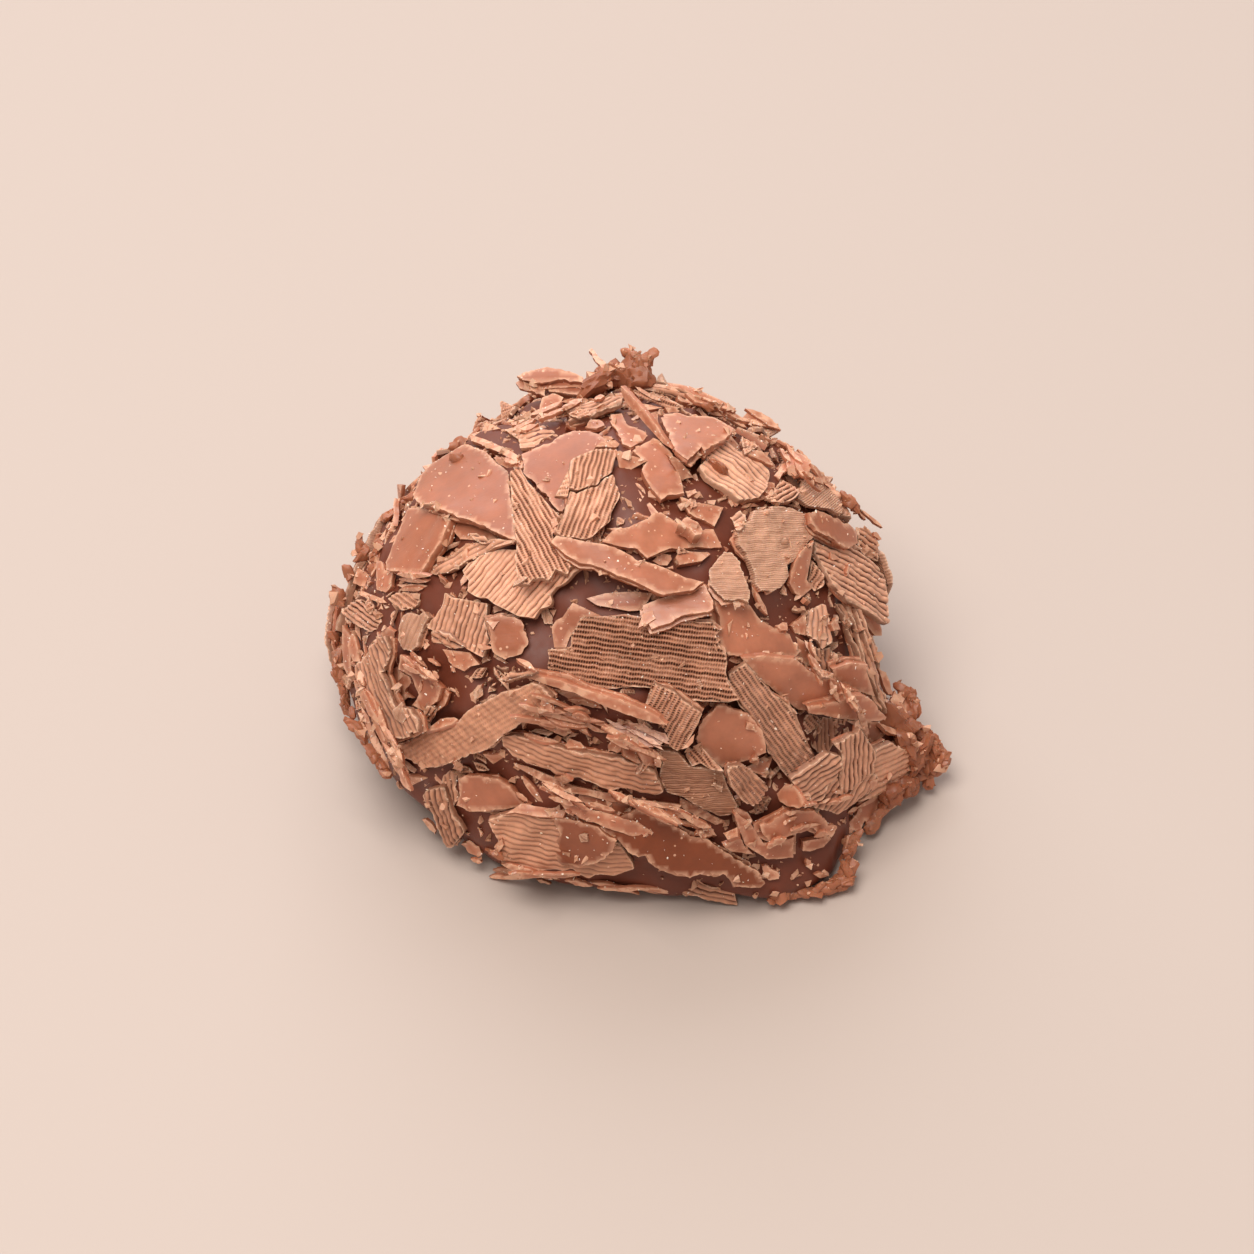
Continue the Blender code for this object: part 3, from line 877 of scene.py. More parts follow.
@dataclass(frozen=True)
class Drawn:
    """One flake as it shows along the line of sight: corners in millimetres on the sheet.

    `kind` is its kind of face, with the number of its node if the model has it. `heading` is that of
    its ribs on the sheet, in degrees. `lift` raises it, in millimetres.
    """

    kind: str
    outline: str
    heading: float = 0.0
    tone: float = 0.0
    relief: float = 1.0
    thickness: float = 0.3
    lift: float = 0.0

    SAMPLE = 0.45
    STEEPEST = math.radians(58)
    STANDING = math.radians(38)
    WIDEST_PITCH = 1.7
    # The share of its places that the pile has to be behind, and of its thickness that shows above it.
    ENOUGH = 0.6
    PROUD = 0.8
    TIGHTEST_CURL = 10
    WIDEST_CURL = 45

    @property
    def face(self) -> Face:
        """Its kind of face."""
        return Face(self.kind.partition("_")[0])

    @property
    def node(self) -> str:
        """The name of its node, or nothing."""
        face, _, number = self.kind.partition("_")
        return f"{face}_flake_{number}" if number else ""

    def corners(self) -> np.ndarray:
        """Its corners on the sheet."""
        return np.array([[float(number) for number in pair.split(",")] for pair in self.outline.split()])

    def on(self, carrier: Plate, seed: int) -> Plate:
        """The flake in the plane and bend of a carrier plate.

        Args:
            carrier: a plate whose own corners don't count.
            seed: the number that its breaks and swells are drawn from.

        Returns:
            The flake as a plate.
        """
        point = carrier.point + carrier.normal * self.lift
        carrier = replace(carrier, point=point)
        corners = self.corners()
        middle = corners.mean(0)
        heading = direction(math.radians(self.heading))
        ends = carrier.seen(np.array([middle, middle + heading, middle + left_of(heading)]))
        run, step = ends[1] - ends[0], ends[2] - ends[0]
        apart = abs(float(run[0] * step[1] - run[1] * step[0])) / float(np.hypot(*run))
        pitch = carrier.pitch * min(max(apart, 1.0), self.WIDEST_PITCH)
        return replace(
            carrier, corners=carrier.seen(corners), face=self.face, seed=seed, tone=self.tone,
            relief=self.relief, rib_turn=math.atan2(run[1], run[0]), pitch=pitch,
        )

    def rest(self, pile: Pile, seed: int, body_only: bool = False) -> Plate:
        """The flake where it rests on the pile, or stands at its rim where the pile isn't behind it.

        Args:
            pile: what it rests on.
            seed: the number that its bend, breaks and swells are drawn from.
            body_only: whether it lies under the slabs.

        Returns:
            The flake as a plate.
        """
        corners = self.corners()
        grid = grid_over(corners, self.SAMPLE)
        places = np.vstack([corners, (corners + np.roll(corners, -1, 0)) / 2, grid[inside(corners, grid)]])
        found = [hit[0] for hit in (pile.seen(place, body_only) for place in places) if hit]
        middle = corners.mean(0)
        if len(found) < self.ENOUGH * len(places) or len(found) < 4:
            point, normal = self.rim_of(pile, middle)
            angle = normal.angle(SIGHT)
            if angle > self.STANDING:
                normal = normal.slerp(SIGHT, (angle - self.STANDING) / angle)
        else:
            hits = np.array(found)
            centre = hits.mean(0)
            points = (hits - centre) @ np.array([RIGHT, UP, SIGHT]).T
            slopes = np.array(resting_slopes(points))
            steepness = float(np.hypot(*slopes))
            if steepness > math.tan(self.STEEPEST):
                slopes *= math.tan(self.STEEPEST) / steepness
            above = float((points[:, 2] - points[:, :2] @ slopes).max())
            point = Vector(centre) + SIGHT * above
            normal = (SIGHT - RIGHT * float(slopes[0]) - UP * float(slopes[1])).normalized()
        chance = np.random.default_rng(seed)
        top = point + normal * self.thickness * self.PROUD
        carrier = Plate(top, RIGHT, normal, np.eye(3, 2), np.zeros(6), self.thickness, self.face, seed)
        flat = self.on(carrier, seed).corners
        long = np.linalg.eigh(np.cov(flat.T))[1][:, 1]
        bend = 0.5 / chance.uniform(self.TIGHTEST_CURL, self.WIDEST_CURL)
        carrier.bend = -bend * np.array([0, 0, 0, long[0] ** 2, 2 * long[0] * long[1], long[1] ** 2])
        return self.on(carrier, seed)

    def rim_of(self, pile: Pile, place: np.ndarray) -> tuple[Vector, Vector]:
        """Where the body's rim is nearest to a place on the sheet, and the way out of it.

        Args:
            pile: what the truffle is made of so far.
            place: a point on the sheet.

        Returns:
            The spot on the rim, and the way out.
        """
        for share in np.linspace(1.0, 0.0, 60):
            hit = pile.seen(place * share, True)
            if hit:
                return hit
        raise ValueError("the body isn't on the sheet")


# How thick thin shavings and layers are, in millimetres, and how far a shaving bows.
THIN = 0.24
BOW = 0.06
# How large a layer is beside the flake above it, how far it is off, and how much darker it is.
LAYER_SIZE = (0.88, 1.03)
LAYER_SHIFT = 0.22
LAYER_WANDER = 0.15
LAYER_SHADE = 0.4


def sliver(kind: str, start: tuple, end: tuple, width: float, tone: float, seed: int) -> Drawn:
    """A long thin shaving, pointed at both ends and a little bowed.

    Args:
        kind: its kind of face.
        start: one end on the sheet.
        end: the other end.
        width: its width at the middle.
        tone: how light it is.
        seed: the number that its bow is drawn from.

    Returns:
        The shaving.
    """
    chance = np.random.default_rng(seed)
    ends = np.array([start, end], float)
    run = ends[1] - ends[0]
    side = left_of(run) / np.hypot(*run)
    stations = np.linspace(0, 1, 7)[:, None]
    bow = chance.uniform(-BOW, BOW) * float(np.hypot(*run))
    spine = ends[0] + run * stations + side * bow * np.sin(np.pi * stations)
    half = width / 2 * np.sin(np.pi * stations) ** 0.5 * chance.uniform(0.75, 1.2, (7, 1))
    loop = np.vstack([spine[:1], (spine + side * half)[1:-1], spine[-1:], (spine - side * half)[-2:0:-1]])
    return Drawn(kind, " ".join(f"{x:.3f},{y:.3f}" for x, y in loop), tone=tone, thickness=THIN)


@dataclass(frozen=True)
class Splinters:
    """A strip of the sheet where thin shavings lie almost side by side."""

    start: tuple[float, float]
    end: tuple[float, float]
    spread: float
    heading: float
    count: int
    seed: int
    shortest: float = 1.2
    longest: float = 3.2

    # How far they turn either way, in degrees, how wide they are, and their tones.
    TURN = 12
    WIDTHS = (0.18, 0.42)
    TONES = (-0.5, 0.4)

    def drawn(self) -> list[Drawn]:
        """The shavings, as they show.

        Returns:
            One entry for each shaving.
        """
        chance = np.random.default_rng(self.seed)
        found = []
        for number in range(self.count):
            share = chance.uniform()
            middle = np.array(self.start) * (1 - share) + np.array(self.end) * share
            middle = middle + np.array([0.0, chance.uniform(-self.spread, self.spread)])
            heading = direction(math.radians(self.heading + chance.uniform(-self.TURN, self.TURN)))
            half = heading * chance.uniform(self.shortest, self.longest) / 2
            width, tone = chance.uniform(*self.WIDTHS), chance.uniform(*self.TONES)
            ends = (tuple(middle - half), tuple(middle + half))
            found.append(sliver("smooth", *ends, width, tone, self.seed * 100 + number))
        return found


def layer_under(plate: Plate, seed: int) -> Plate:
    """A thin layer stuck under a flake, jutting out a little here and there.

    Args:
        plate: the flake above.
        seed: the seed of its shape.

    Returns:
        The layer.
    """
    chance = np.random.default_rng(seed)
    middle = plate.corners.mean(0)
    size = chance.uniform(*LAYER_SIZE)
    shift = chance.uniform(-LAYER_SHIFT, LAYER_SHIFT, 2)
    wander = chance.uniform(-LAYER_WANDER, LAYER_WANDER, plate.corners.shape)
    bend = plate.bend.copy()
    bend[0] -= plate.thickness
    corners = middle + (plate.corners - middle) * size + shift + wander
    tone = plate.tone - LAYER_SHADE
    return replace(plate, corners=corners, bend=bend, face=Face.SMOOTH, seed=seed, tone=tone, thickness=THIN)


@dataclass(frozen=True)
class ChipSizes:
    """The sizes that small chips break to, in millimetres, and how they lie."""

    shortest: float
    longest: float
    slimmest: float
    widest: float
    thinnest: float
    thickest: float
    flattest: float
    steepest: float


@dataclass
class ChipBed:
    """Chips that fill the hollows between the large flakes, each sunk by one edge, or lie on top.

    With `far_side` they keep to the side that faces away, and with `on_top` they lie on the flakes.
    """

    sizes: ChipSizes
    tries: int
    seed: int
    far_side: bool = False
    on_top: bool = False
    faces: tuple[Face, ...] = (Face.RIBBED, Face.SMOOTH, Face.GRAINED, Face.SMOOTH, Face.RIBBED, Face.SMOOTH)
    chips: list[Plate] = field(default_factory=list)

    # How often a chip is tried, how much smaller each time, and how far it stays above the floor.
    ATTEMPTS = 7
    SHRINK = 0.88
    FLOOR_GAP = 0.1
    FEWEST_CORNERS = 3
    MOST_CORNERS = 6
    REACH = (0.6, 1.3)
    # The point that the chips are spread round, and how far below level they go, as a share.
    HEART = Vector((0.0, 0.0, 7.0))
    OVERHUNG = 1.15
    GOLDEN = 3 - math.sqrt(5)
    LOWEST = 0.5
    CURLS = (14, 60)

    def outline(self, chance: np.random.Generator, length: float, width: float) -> np.ndarray:
        """Three to six sharp corners, near and far.

        Args:
            chance: the source of the draws.
            length: the chip's length.
            width: its width.

        Returns:
            The corners, (u, v).
        """
        count = int(chance.integers(self.FEWEST_CORNERS, self.MOST_CORNERS + 1))
        turns = (np.arange(count) + chance.uniform(-0.32, 0.32, count)) / count * math.tau
        reach = chance.uniform(*self.REACH, count)
        return np.column_stack([np.cos(turns) * reach * length / 2, np.sin(turns) * reach * width / 2])

    def spots(self, pile: Pile, chance: np.random.Generator) -> list[tuple[Vector, Vector]]:
        """Places spread evenly over the dome, each with the way out of it.

        Args:
            pile: what the truffle is made of so far.
            chance: the source of the draws.

        Returns:
            Pairs of a spot and a way.
        """
        found = []
        for k in range(self.tries):
            height = 1 - (k + 0.5) / self.tries * self.OVERHUNG
            turn = k * math.pi * self.GOLDEN + chance.uniform(-0.3, 0.3)
            flat = math.sqrt(max(0.0, 1 - height**2))
            way = Vector((flat * math.cos(turn), flat * math.sin(turn), height))
            hit = pile.hit(self.HEART + way * OUTSIDE, -way, not self.on_top)
            if hit and hit[0].z > self.LOWEST and not (self.far_side and hit[1].dot(SIGHT) > -0.1):
                found.append(hit)
        return found

    def lay(self, pile: Pile) -> None:
        """Lays the chips one by one where there is room.

        Args:
            pile: what the truffle is made of so far.
        """
        chance = np.random.default_rng(self.seed)
        for number, (spot, normal) in enumerate(self.spots(pile, chance)):
            if not self.on_top and not pile.bare(spot, normal):
                continue
            place = on_sheet(spot)
            if normal.dot(SIGHT) > 0 and any(math.dist(place, (x, y)) < radius for x, y, radius in HOLLOWS):
                continue
            for attempt in range(self.ATTEMPTS):
                chip = self.chip(chance, (spot, normal), self.SHRINK**attempt, number)
                slab = chip.slab()
                lowest = min(point.z for point in slab[0])
                if lowest > self.FLOOR_GAP and (self.on_top or not pile.meets(*slab)):
                    pile.add(*slab)
                    self.chips.append(chip)
                    break

    def chip(self, chance: np.random.Generator, hit: tuple, scale: float, number: int) -> Plate:
        """One chip leaning on its sunk edge.

        Args:
            chance: the source of random numbers.
            hit: where it stands, and the way out of what it stands on.
            scale: what its size is multiplied by.
            number: its number, for its seed.

        Returns:
            The chip.
        """
        spot, normal = hit
        sizes = self.sizes
        length = chance.uniform(sizes.shortest, sizes.longest) * scale
        width = length * chance.uniform(sizes.slimmest, sizes.widest)
        lean = chance.uniform(sizes.flattest, sizes.steepest)
        heading = Vector(chance.normal(size=3))
        edge = (heading - normal * heading.dot(normal)).normalized()
        tilted = Matrix.Rotation(lean, 3, edge) @ normal
        turned = Matrix.Rotation(chance.uniform(-0.5, 0.5), 3, tilted) @ edge
        thickness = chance.uniform(sizes.thinnest, sizes.thickest)
        sink = 0.12 + 0.25 * math.sin(lean)
        middle = spot + normal * (width / 2 * math.sin(lean) + thickness * math.cos(lean) - sink)
        bend = np.array([0, 0, 0, -1 / chance.uniform(*self.CURLS), 0, 0])
        outline = self.outline(chance, length, width)
        face = self.faces[number % len(self.faces)]
        return Plate(
            middle, turned, tilted, outline, bend, thickness, face, self.seed * 1000 + number,
            rib_turn=chance.choice([0.0, 0.0, math.pi / 2]) + chance.uniform(-0.3, 0.3),
            tone=chance.uniform(-0.6, 0.6),
        )


@dataclass
class TornLumps:
    """Torn ledges of coating and flakes: chains of rough balls that run together."""

    seed: int = 12
    roughness: float = 0.55
    farthest: float = 2.8
    spacing: float = 0.7
    far_lumps: int = 16

    # The least and the most that a ball is stretched across, up and along.
    PROPORTIONS = ((0.5, 0.8), (0.7, 1.1), (1.0, 1.6))
    HEART = Vector((0.0, 0.0, 6.0))

    def near_rim(self, pile: Pile, place: np.ndarray) -> tuple[Vector, Vector] | None:
        """The spot at a place of the sheet. Past the dome's rim it is as deep as the rim.

        Args:
            pile: what has been laid so far.
            place: how far right and up of the middle, in millimetres.

        Returns:
            The spot and the way out there, or None far from the dome.
        """
        for share in np.linspace(1.0, 0.5, 60):
            hit = pile.seen(place * share)
            if hit:
                away = place * (1 - share)
                past = RIGHT * float(away[0]) + UP * float(away[1])
                return (hit[0] + past, hit[1]) if past.length < self.farthest else None
        return None

    def places(self, pile: Pile) -> list[tuple[Vector, Vector, float, float]]:
        """The middle of each lump, the way it is drawn out, its radius and its tone.

        Args:
            pile: what the truffle is made of so far.

        Returns:
            One entry for each lump.
        """
        chance = np.random.default_rng(self.seed)
        found = []
        for line, radius, tone in LEDGES:
            points = np.array([[float(v) for v in pair.split(",")] for pair in line.split()])
            for start, end in zip(points, points[1:]):
                along = RIGHT * float((end - start)[0]) + UP * float((end - start)[1])
                count = max(1, math.ceil(along.length / (self.spacing * radius)))
                for step in range(count):
                    place = start + (end - start) * step / count + chance.normal(0, 0.15 * radius, 2)
                    hit = self.near_rim(pile, place)
                    if hit:
                        middle = hit[0] + hit[1] * radius * 0.2
                        found.append((middle, along, radius, tone + chance.uniform(-0.2, 0.2)))
        for _ in range(self.far_lumps):
            turn, height = chance.uniform(0, math.pi), chance.uniform(0.1, 1.2)
            way = Vector((*direction(turn) * math.cos(height), math.sin(height)))
            hit = pile.hit(self.HEART + way * OUTSIDE, -way)
            if hit:
                along = Vector(chance.normal(size=3))
                found.append((hit[0], along, chance.uniform(0.25, 0.6), chance.uniform(-0.5, 0.2)))
        return found

    def build(self, pile: Pile, material: bpy.types.Material) -> bpy.types.Object:
        """Makes all ledges and lumps as one mesh.

        Args:
            pile: what the truffle is made of so far.
            material: their finish.

        Returns:
            The object.
        """
        chance = np.random.default_rng(self.seed + 1)
        bm = bmesh.new()
        layer = bm.verts.layers.float.new("tone")
        for middle, along, radius, tone in self.places(pile):
            fineness = 3 if radius > 0.45 else 2
            made = bmesh.ops.create_icosphere(bm, subdivisions=fineness, radius=1.0)["verts"]
            size = Vector(chance.uniform(low, high) for low, high in self.PROPORTIONS) * radius
            aim = along.normalized() + Vector(chance.normal(0, 0.25, 3))
            turn = aim.to_track_quat("Z", "Y") @ Quaternion((0, 0, 1), chance.uniform(0, math.tau))
            shift = Vector(chance.uniform(-50, 50, 3))
            for vertex in made:
                swell = noise.fractal(vertex.co * 1.2 + shift, 0.8, 2.1, 3)
                place = turn @ Vector(a * b for a, b in zip(vertex.co * (1 + self.roughness * swell), size))
                place += middle
                place.z = max(place.z, 0.02)
                vertex.co = place * MM
                vertex[layer] = tone
        made = mesh_object("torn_lumps", bm)
        made.data.shade_smooth()
        made.data.set_sharp_from_angle(angle=SHARP)
        made.data.materials.append(material)
        return made


# The large flakes. Each lies in the plane of its node; a few nodes carry two or three. Their tones hold
# painted light and shade as well as each flake's own lightness: flakes lit from above are painted lighter,
# those facing down darker, smooth_19 most.
LARGE = (
    Drawn("smooth_05", "-12.35,6.2 -11.9,7.2 -11.3,8 -9.3,9.2 -8,8.8 -7.4,8.1 -6.7,7.6 -6.35,3.6 -9,4.7 "
          "-9.8,4.85 -10,5.05 -11.8,5.6 -12.1,5.8", tone=-0.55),
    Drawn("smooth_04", "-12.6,5.5 -10,5.1 -10.6,3.6 -12,1.4 -13.9,1.75 -14,2.2", tone=-0.5),
    Drawn("ribbed_05", "-9.4,1.7 -9.1,2.1 -8.2,2.7 -7.2,3 -4.5,2.9 -2.9,2.4 -2.3,2 -2.9,1.6 -3.3,1.1 -4,0.8 "
          "-4.3,0.4 -4.2,0 -4.3,-0.3 -4.9,-0.5 -5.2,-1.05 -6.2,-0.9 -7.6,-0.2 -8,0.15 -8.6,0.2 -9.1,0.5 "
          "-9,1.1", 50, tone=0.9, relief=0.7),
    Drawn("smooth_06", "-6,8.6 -4.2,9.4 -3.6,9.8 -2.9,10 -1.9,10 -1.3,9.8 -0.9,9.4 -1.5,8.5 -2.6,7.5 "
          "-3.1,6.3 -3.3,5.4 -3.5,5.1 -3.9,5.3 -5.2,6.9 -5.9,7.5", tone=-0.6),
    Drawn("ribbed_06", "-6.6,7.6 -6.1,7.9 -5.6,7 -3.5,4.85 -4.1,3.9 -3.9,3.3 -3.2,2.9 -2.7,2.3 -3.1,2 "
          "-3.2,1.6 -3.9,1.9 -4.3,1.2 -4.8,1.4 -5.3,1.3 -5.5,1 -6.1,1 -6.3,2.6 -6.2,3.5 "
          "-6.4,4.3", -62, tone=1.3, relief=1.1),
    Drawn("ribbed_07", "-3.1,7.7 -3.9,6.2 -3.2,6.1 -3.1,6.6", 10, tone=1.2, lift=-0.15),
    Drawn("ribbed_07", "-2.9,8.4 -1.6,8.9 -0.3,8.9 -0.5,7.6 -1.1,7.3 -1.4,6.85 -1.9,6.8 -2.6,6.5 -3.05,6.65 "
          "-3.1,7.4", 76, tone=1.2),
    Drawn("ribbed_07", "-3,6.5 -2.6,6.35 -1.9,6.65 -1.4,6.7 -1.05,7.15 -0.5,7.4 -0.1,6.2 -0.6,5.2 -0.7,4.7 "
          "-1.8,3.7 -2.2,3.6 -3.6,3.8 -3.9,4.1 -3.3,5.3", 70, tone=1.1),
    Drawn("smooth_07", "-1.2,3.4 -0.6,4.1 1.5,4.8 1.9,5.2 2.4,5.1 4.3,3.9 4.9,4.25 5.4,4.2 5.9,3.1 5.3,3 "
          "4.4,3.1 2.8,3 1.5,2.45 0.9,2.95", tone=0.1),
    Drawn("smooth_08", "0.6,8.8 1.8,9.6 2.2,9.4 3,8.6 3.7,6.3 2.7,6.2 2.3,5.85 1.4,7 1.1,7.7 "
          "1.4,8.1", tone=-0.2),
    Drawn("ribbed_08", "4.9,8.65 6.2,9.45 8.6,7.8 8.8,7.4 8.6,6.7 8.1,6.1 7,5.95 5.4,7.1 4.6,7.95 "
          "4.9,8.2", -37, tone=1.5, relief=1),
    Drawn("smooth_09", "2.2,10.8 2.5,11 3.4,11.05 3.9,10.85 5,10.9 5.5,10.8 6.6,10.1 6.5,9.8 5.2,8.9 "
          "4.8,8.75 4.7,9 3.9,8.25 3.1,8.8", tone=0),
    Drawn("grained_02", "7.8,5.3 9.3,5.6 9.9,5.5 10.9,5.1 11,4.6 11.4,3.9 10.2,2.3 9.8,2 9.9,1.3 9.4,0.7 "
          "8.8,0.45 8.2,0.5 7.9,0.9 7.7,1.8 7.3,2.7 6.9,3.2 6.7,3.8 6.8,4.2 7.2,4.4", tone=1.3),
    Drawn("ribbed_09", "11.3,4.1 12.6,3.4 13.9,2.9 14.4,2.5 15.1,2.2 15.4,1.6 15.85,-1.35 15.4,-1.2 13.4,0 "
          "13,0.5 12.4,0.9 11.7,2.5", -32, tone=1.3, relief=1.1),
    Drawn("smooth_10", "11,5.2 11.4,5.35 12,5.3 13.4,4.5 13.9,4 13.9,3.3 13.4,3 12.8,3.2 12.4,3.6 11.6,4 "
          "11.1,4.5", tone=-0.6),
    Drawn("smooth_11", "-6.2,13.2 -5.7,13.5 -4.4,13.75 -3.4,13.6 -1.2,12.8 -0.9,12.5 -1.6,12.5 -2.6,12.8 "
          "-3.6,12.9 -5.2,12.7 -5.9,12.9", tone=-0.5, lift=0.6),
    Drawn("smooth_11", "-5.6,12.8 -4.9,12.9 -4.4,12.4 -4.5,12 -5.1,12.1 -5.5,12.4", tone=-0.9, lift=0.2),
    Drawn("smooth_11", "-4.5,12.7 -3.8,12.95 -2.9,12.9 -0.9,12.3 -1.6,12.1 -2.4,12.05 "
          "-4.3,12.3", tone=-1.0, lift=0.1),
    Drawn("ribbed_10", "-3.4,11 -2.9,11.5 -1.9,11.9 -0.3,12.1 0.1,12 0,11.7 -2,10.9 -3.2,10.6", 20),
    Drawn("ribbed_11", "0.6,13 2,12.8 4.2,12.2 5.2,11.6 4.8,11.4 3.8,11.8 0.6,12.7", -15),
    Drawn("smooth_12", "5.3,0.2 7.5,-0.2 8.2,-1.1 9,-1.6 9.9,-1.95 10.2,-2.6 10.6,-3 10.3,-3.4 9.6,-3.6 "
          "7.2,-3.5 6.3,-3.3 5.8,-2.8 5.5,-2.1 5.8,-1.7 5.7,-1 5.4,-0.4", tone=0.3),
    Drawn("smooth_13", "7,-3.4 8.5,-3.3 10.3,-3.5 10.9,-4.1 11.7,-4.5 12.5,-4.7 13,-5.05 13.8,-5.3 13.4,-5.7 "
          "12.7,-6 11.2,-6.2 10.9,-6.5 10.4,-6.5 8.3,-4.9", tone=0.3),
    Drawn("smooth_14", "10.9,-6.3 13,-5.95 13.6,-5.6 14.2,-5.6 14.8,-5.9 15.6,-6.9 15.5,-7.15 14.9,-7.2 "
          "11,-6.7", tone=0.3),
    Drawn("grained_03", "5,1.4 5.1,1.9 6,2.95 6.5,2.8 7,2.3 7.6,0.5 7.5,-0.2 6.9,0 6,-0.05 "
          "5.1,0.9", tone=0.1),
    Drawn("ribbed_12", "7.3,-3.7 9,-5.7 9.8,-6.2 11.4,-9.5 11,-9.9 10.4,-10 10,-10.6 9.6,-10.3 8.6,-9 "
          "8.5,-8.5 8,-7.4 6.9,-6.2 6.5,-5.4 6.3,-4.5", -53, tone=0.3, relief=1.1),
    Drawn("smooth_15", "6.2,-6.2 7.4,-6.7 7.9,-7.1 8.3,-7.7 8.5,-8.4 8.5,-9 7.5,-9.5 5.9,-9.9 5.3,-9.5 "
          "4.5,-8.6 4.3,-8.2 4.4,-7.6 4.8,-6.9 5.3,-6.6 5.6,-6.2", tone=0.2),
    Drawn("ribbed_13", "-2.4,-1 0,-0.95 2.2,-1.2 5.2,-1.3 5.8,-1.8 5.5,-2.1 5.7,-2.7 6,-3.1 6.2,-3.7 "
          "6.1,-4.2 6.2,-4.8 6.9,-5.9 6.3,-6 4,-5.9 2.4,-5.2 0.6,-5.1 -1.3,-5.3 -4.1,-4.4 -4.4,-4 -4.3,-3.4 "
          "-4.4,-2.9 -3.3,-2.9 -3,-2.7 -3,-2.1", -8, tone=-0.2, relief=1.2),
    Drawn("smooth_16", "1.2,-0.3 3.9,0.75 4.9,0.95 5.4,0 5.4,-0.5 5.2,-0.7 3.5,-1 3,-1.3 1.7,-1.75 "
          "1.2,-0.7", tone=0),
    Drawn("smooth_17", "-4.2,3.4 -3.9,3.85 -0.4,3.15 0.8,2.5 2.6,1.9 3.6,1.4 4.9,1.1 4.2,0.6 2.4,0.3 "
          "-1.9,2.1 -2.5,2.2 -3.4,2.7", tone=-0.5),
    Drawn("ribbed_14", "-11.8,-11.6 -11.6,-11.3 -10.6,-11.1 -10.5,-11.7 -9.4,-13.8 -10,-14.6 -10.4,-14.6 "
          "-11.2,-12.6", -70, tone=-0.4),
    Drawn("smooth_18", "-9.7,-10.5 -9.2,-10.3 -7.4,-10.5 -6.6,-11 -5.9,-11.9 -5.4,-12.1 -8,-12.5 -9,-12.5 "
          "-9.8,-12.1 -9.6,-11.5", tone=-0.5),
    Drawn("grained_04", "2,-8.8 3.3,-9 4,-9.8 5.9,-10.1 6.2,-11 6.8,-12.1 6.5,-12.6 5.8,-12.8 3.6,-11.6 "
          "2.6,-11.3 2.2,-10.4 2.4,-9.6", tone=-0.9),
    Drawn("ribbed_15", "1.8,-5 3,-5.4 3.5,-5.9 4.7,-6.7 4.5,-7.3 3.6,-8.8 3.3,-8.9 2.8,-8.6 2.7,-7.9 "
          "1.3,-6.4", 62, tone=-0.1),
    Drawn("ribbed_16", "-7.9,-13 -7.2,-12.7 -6.3,-12.6 -2.5,-13.1 -1.4,-13.5 -1,-13.9 -0.2,-14.4 0.6,-15.5 "
          "0.7,-15.9 -0.6,-16.3 -1.3,-16.1 -2,-16.4 -2.6,-16.2 -2.9,-15.9 -6,-15.9 -7,-15.6 -7.3,-15.1 "
          "-7.2,-14.4", -8, tone=-0.2, relief=0.5),
    Drawn("smooth_19", "0.9,-12.2 2,-12.6 4,-13.7 4.9,-14 8,-15.9 8.5,-16.7 8.2,-17 6.6,-16.9 6.3,-16.5 "
          "4.6,-16.2 4,-16.5 2.2,-16 1.4,-15.4 0.3,-14.9 -0.2,-14.2 -1,-13.8 -1.4,-13.4", tone=-2.0),
    Drawn("ribbed_17", "-7.1,-8.1 -6,-8.1 -1,-9.3 0,-9.4 1.9,-10.2 2.4,-11.4 2,-11.6 0.2,-11.1 -0.8,-11.2 "
          "-1.5,-10.8 -3.5,-10.4 -6.4,-9.2 -7,-8.7", -16, tone=-0.4, relief=0.55),
    Drawn("smooth_20", "-5.8,-4.6 -5.7,-4.25 -3.5,-4.8 -2.2,-5.3 0,-5.9 2.2,-6.9 2.7,-7.4 2.2,-7.4 -0.5,-6.5 "
          "-2.8,-5.5", tone=0.3, lift=0.3),
    Drawn("ribbed_18", "6.2,-10.1 6.4,-9.8 7.2,-9.7 8.1,-10.4 8.7,-11.1 8.2,-12 7.7,-12.2 7.2,-12 "
          "6.3,-10.9", -52, tone=-0.1),
    Drawn("ribbed_19", "14.9,-8.9 15.9,-8.4 16.2,-8.7 16.9,-8.9 17.6,-8.9 18.2,-9.7 17.2,-10.3 16.9,-10.7 "
          "13.9,-11.9 14.6,-11.5 15.1,-10.7 14.9,-10", 32, tone=0.4, relief=0.5),
    Drawn("smooth_21", "10,-12.3 11.4,-12.45 12.7,-13.3 12.7,-13.6 12.3,-14 11,-13.7 10.2,-13.8 9.7,-14 "
          "9.2,-14.5 8.6,-14.3 8.2,-13.9 8.1,-13.3", tone=-0.2),
    Drawn("smooth_21", "9.4,-14.2 10.2,-13.9 10.1,-15.2 8.5,-15.3 7.2,-14.4 6.6,-12.7 6.7,-12.4 7.4,-12.9 "
          "8.4,-14.3", tone=-0.3, lift=-0.4),
    Drawn("smooth_21", "10.6,-14.2 12.3,-13.9 12.4,-14.1 11.9,-14.6 11.2,-14.8 "
          "10.6,-14.8", tone=-0.3, lift=-0.5),
    Drawn("ribbed_20", "10,-10.6 10.6,-10.1 12.2,-9.15 12.9,-9.2 13,-9.9 12.7,-10.5 12.1,-11.1 12,-11.6 "
          "11.4,-12 10.5,-11.6", 35, tone=0.5),
    Drawn("ribbed_20", "12.6,-8.6 13.1,-8.4 13.5,-8 13.9,-8 14.1,-7.6 14.9,-8.9 14.9,-10.2 13.3,-11.3 "
          "13,-11.7 12.9,-10.4 13,-9.2 12.9,-8.9", 88, tone=0.5),
    Drawn("ribbed_20", "12.1,-11.2 12.7,-10.5 13.3,-11.5 14.6,-10.3 15,-10.3 15.1,-10.7 14.6,-11.5 "
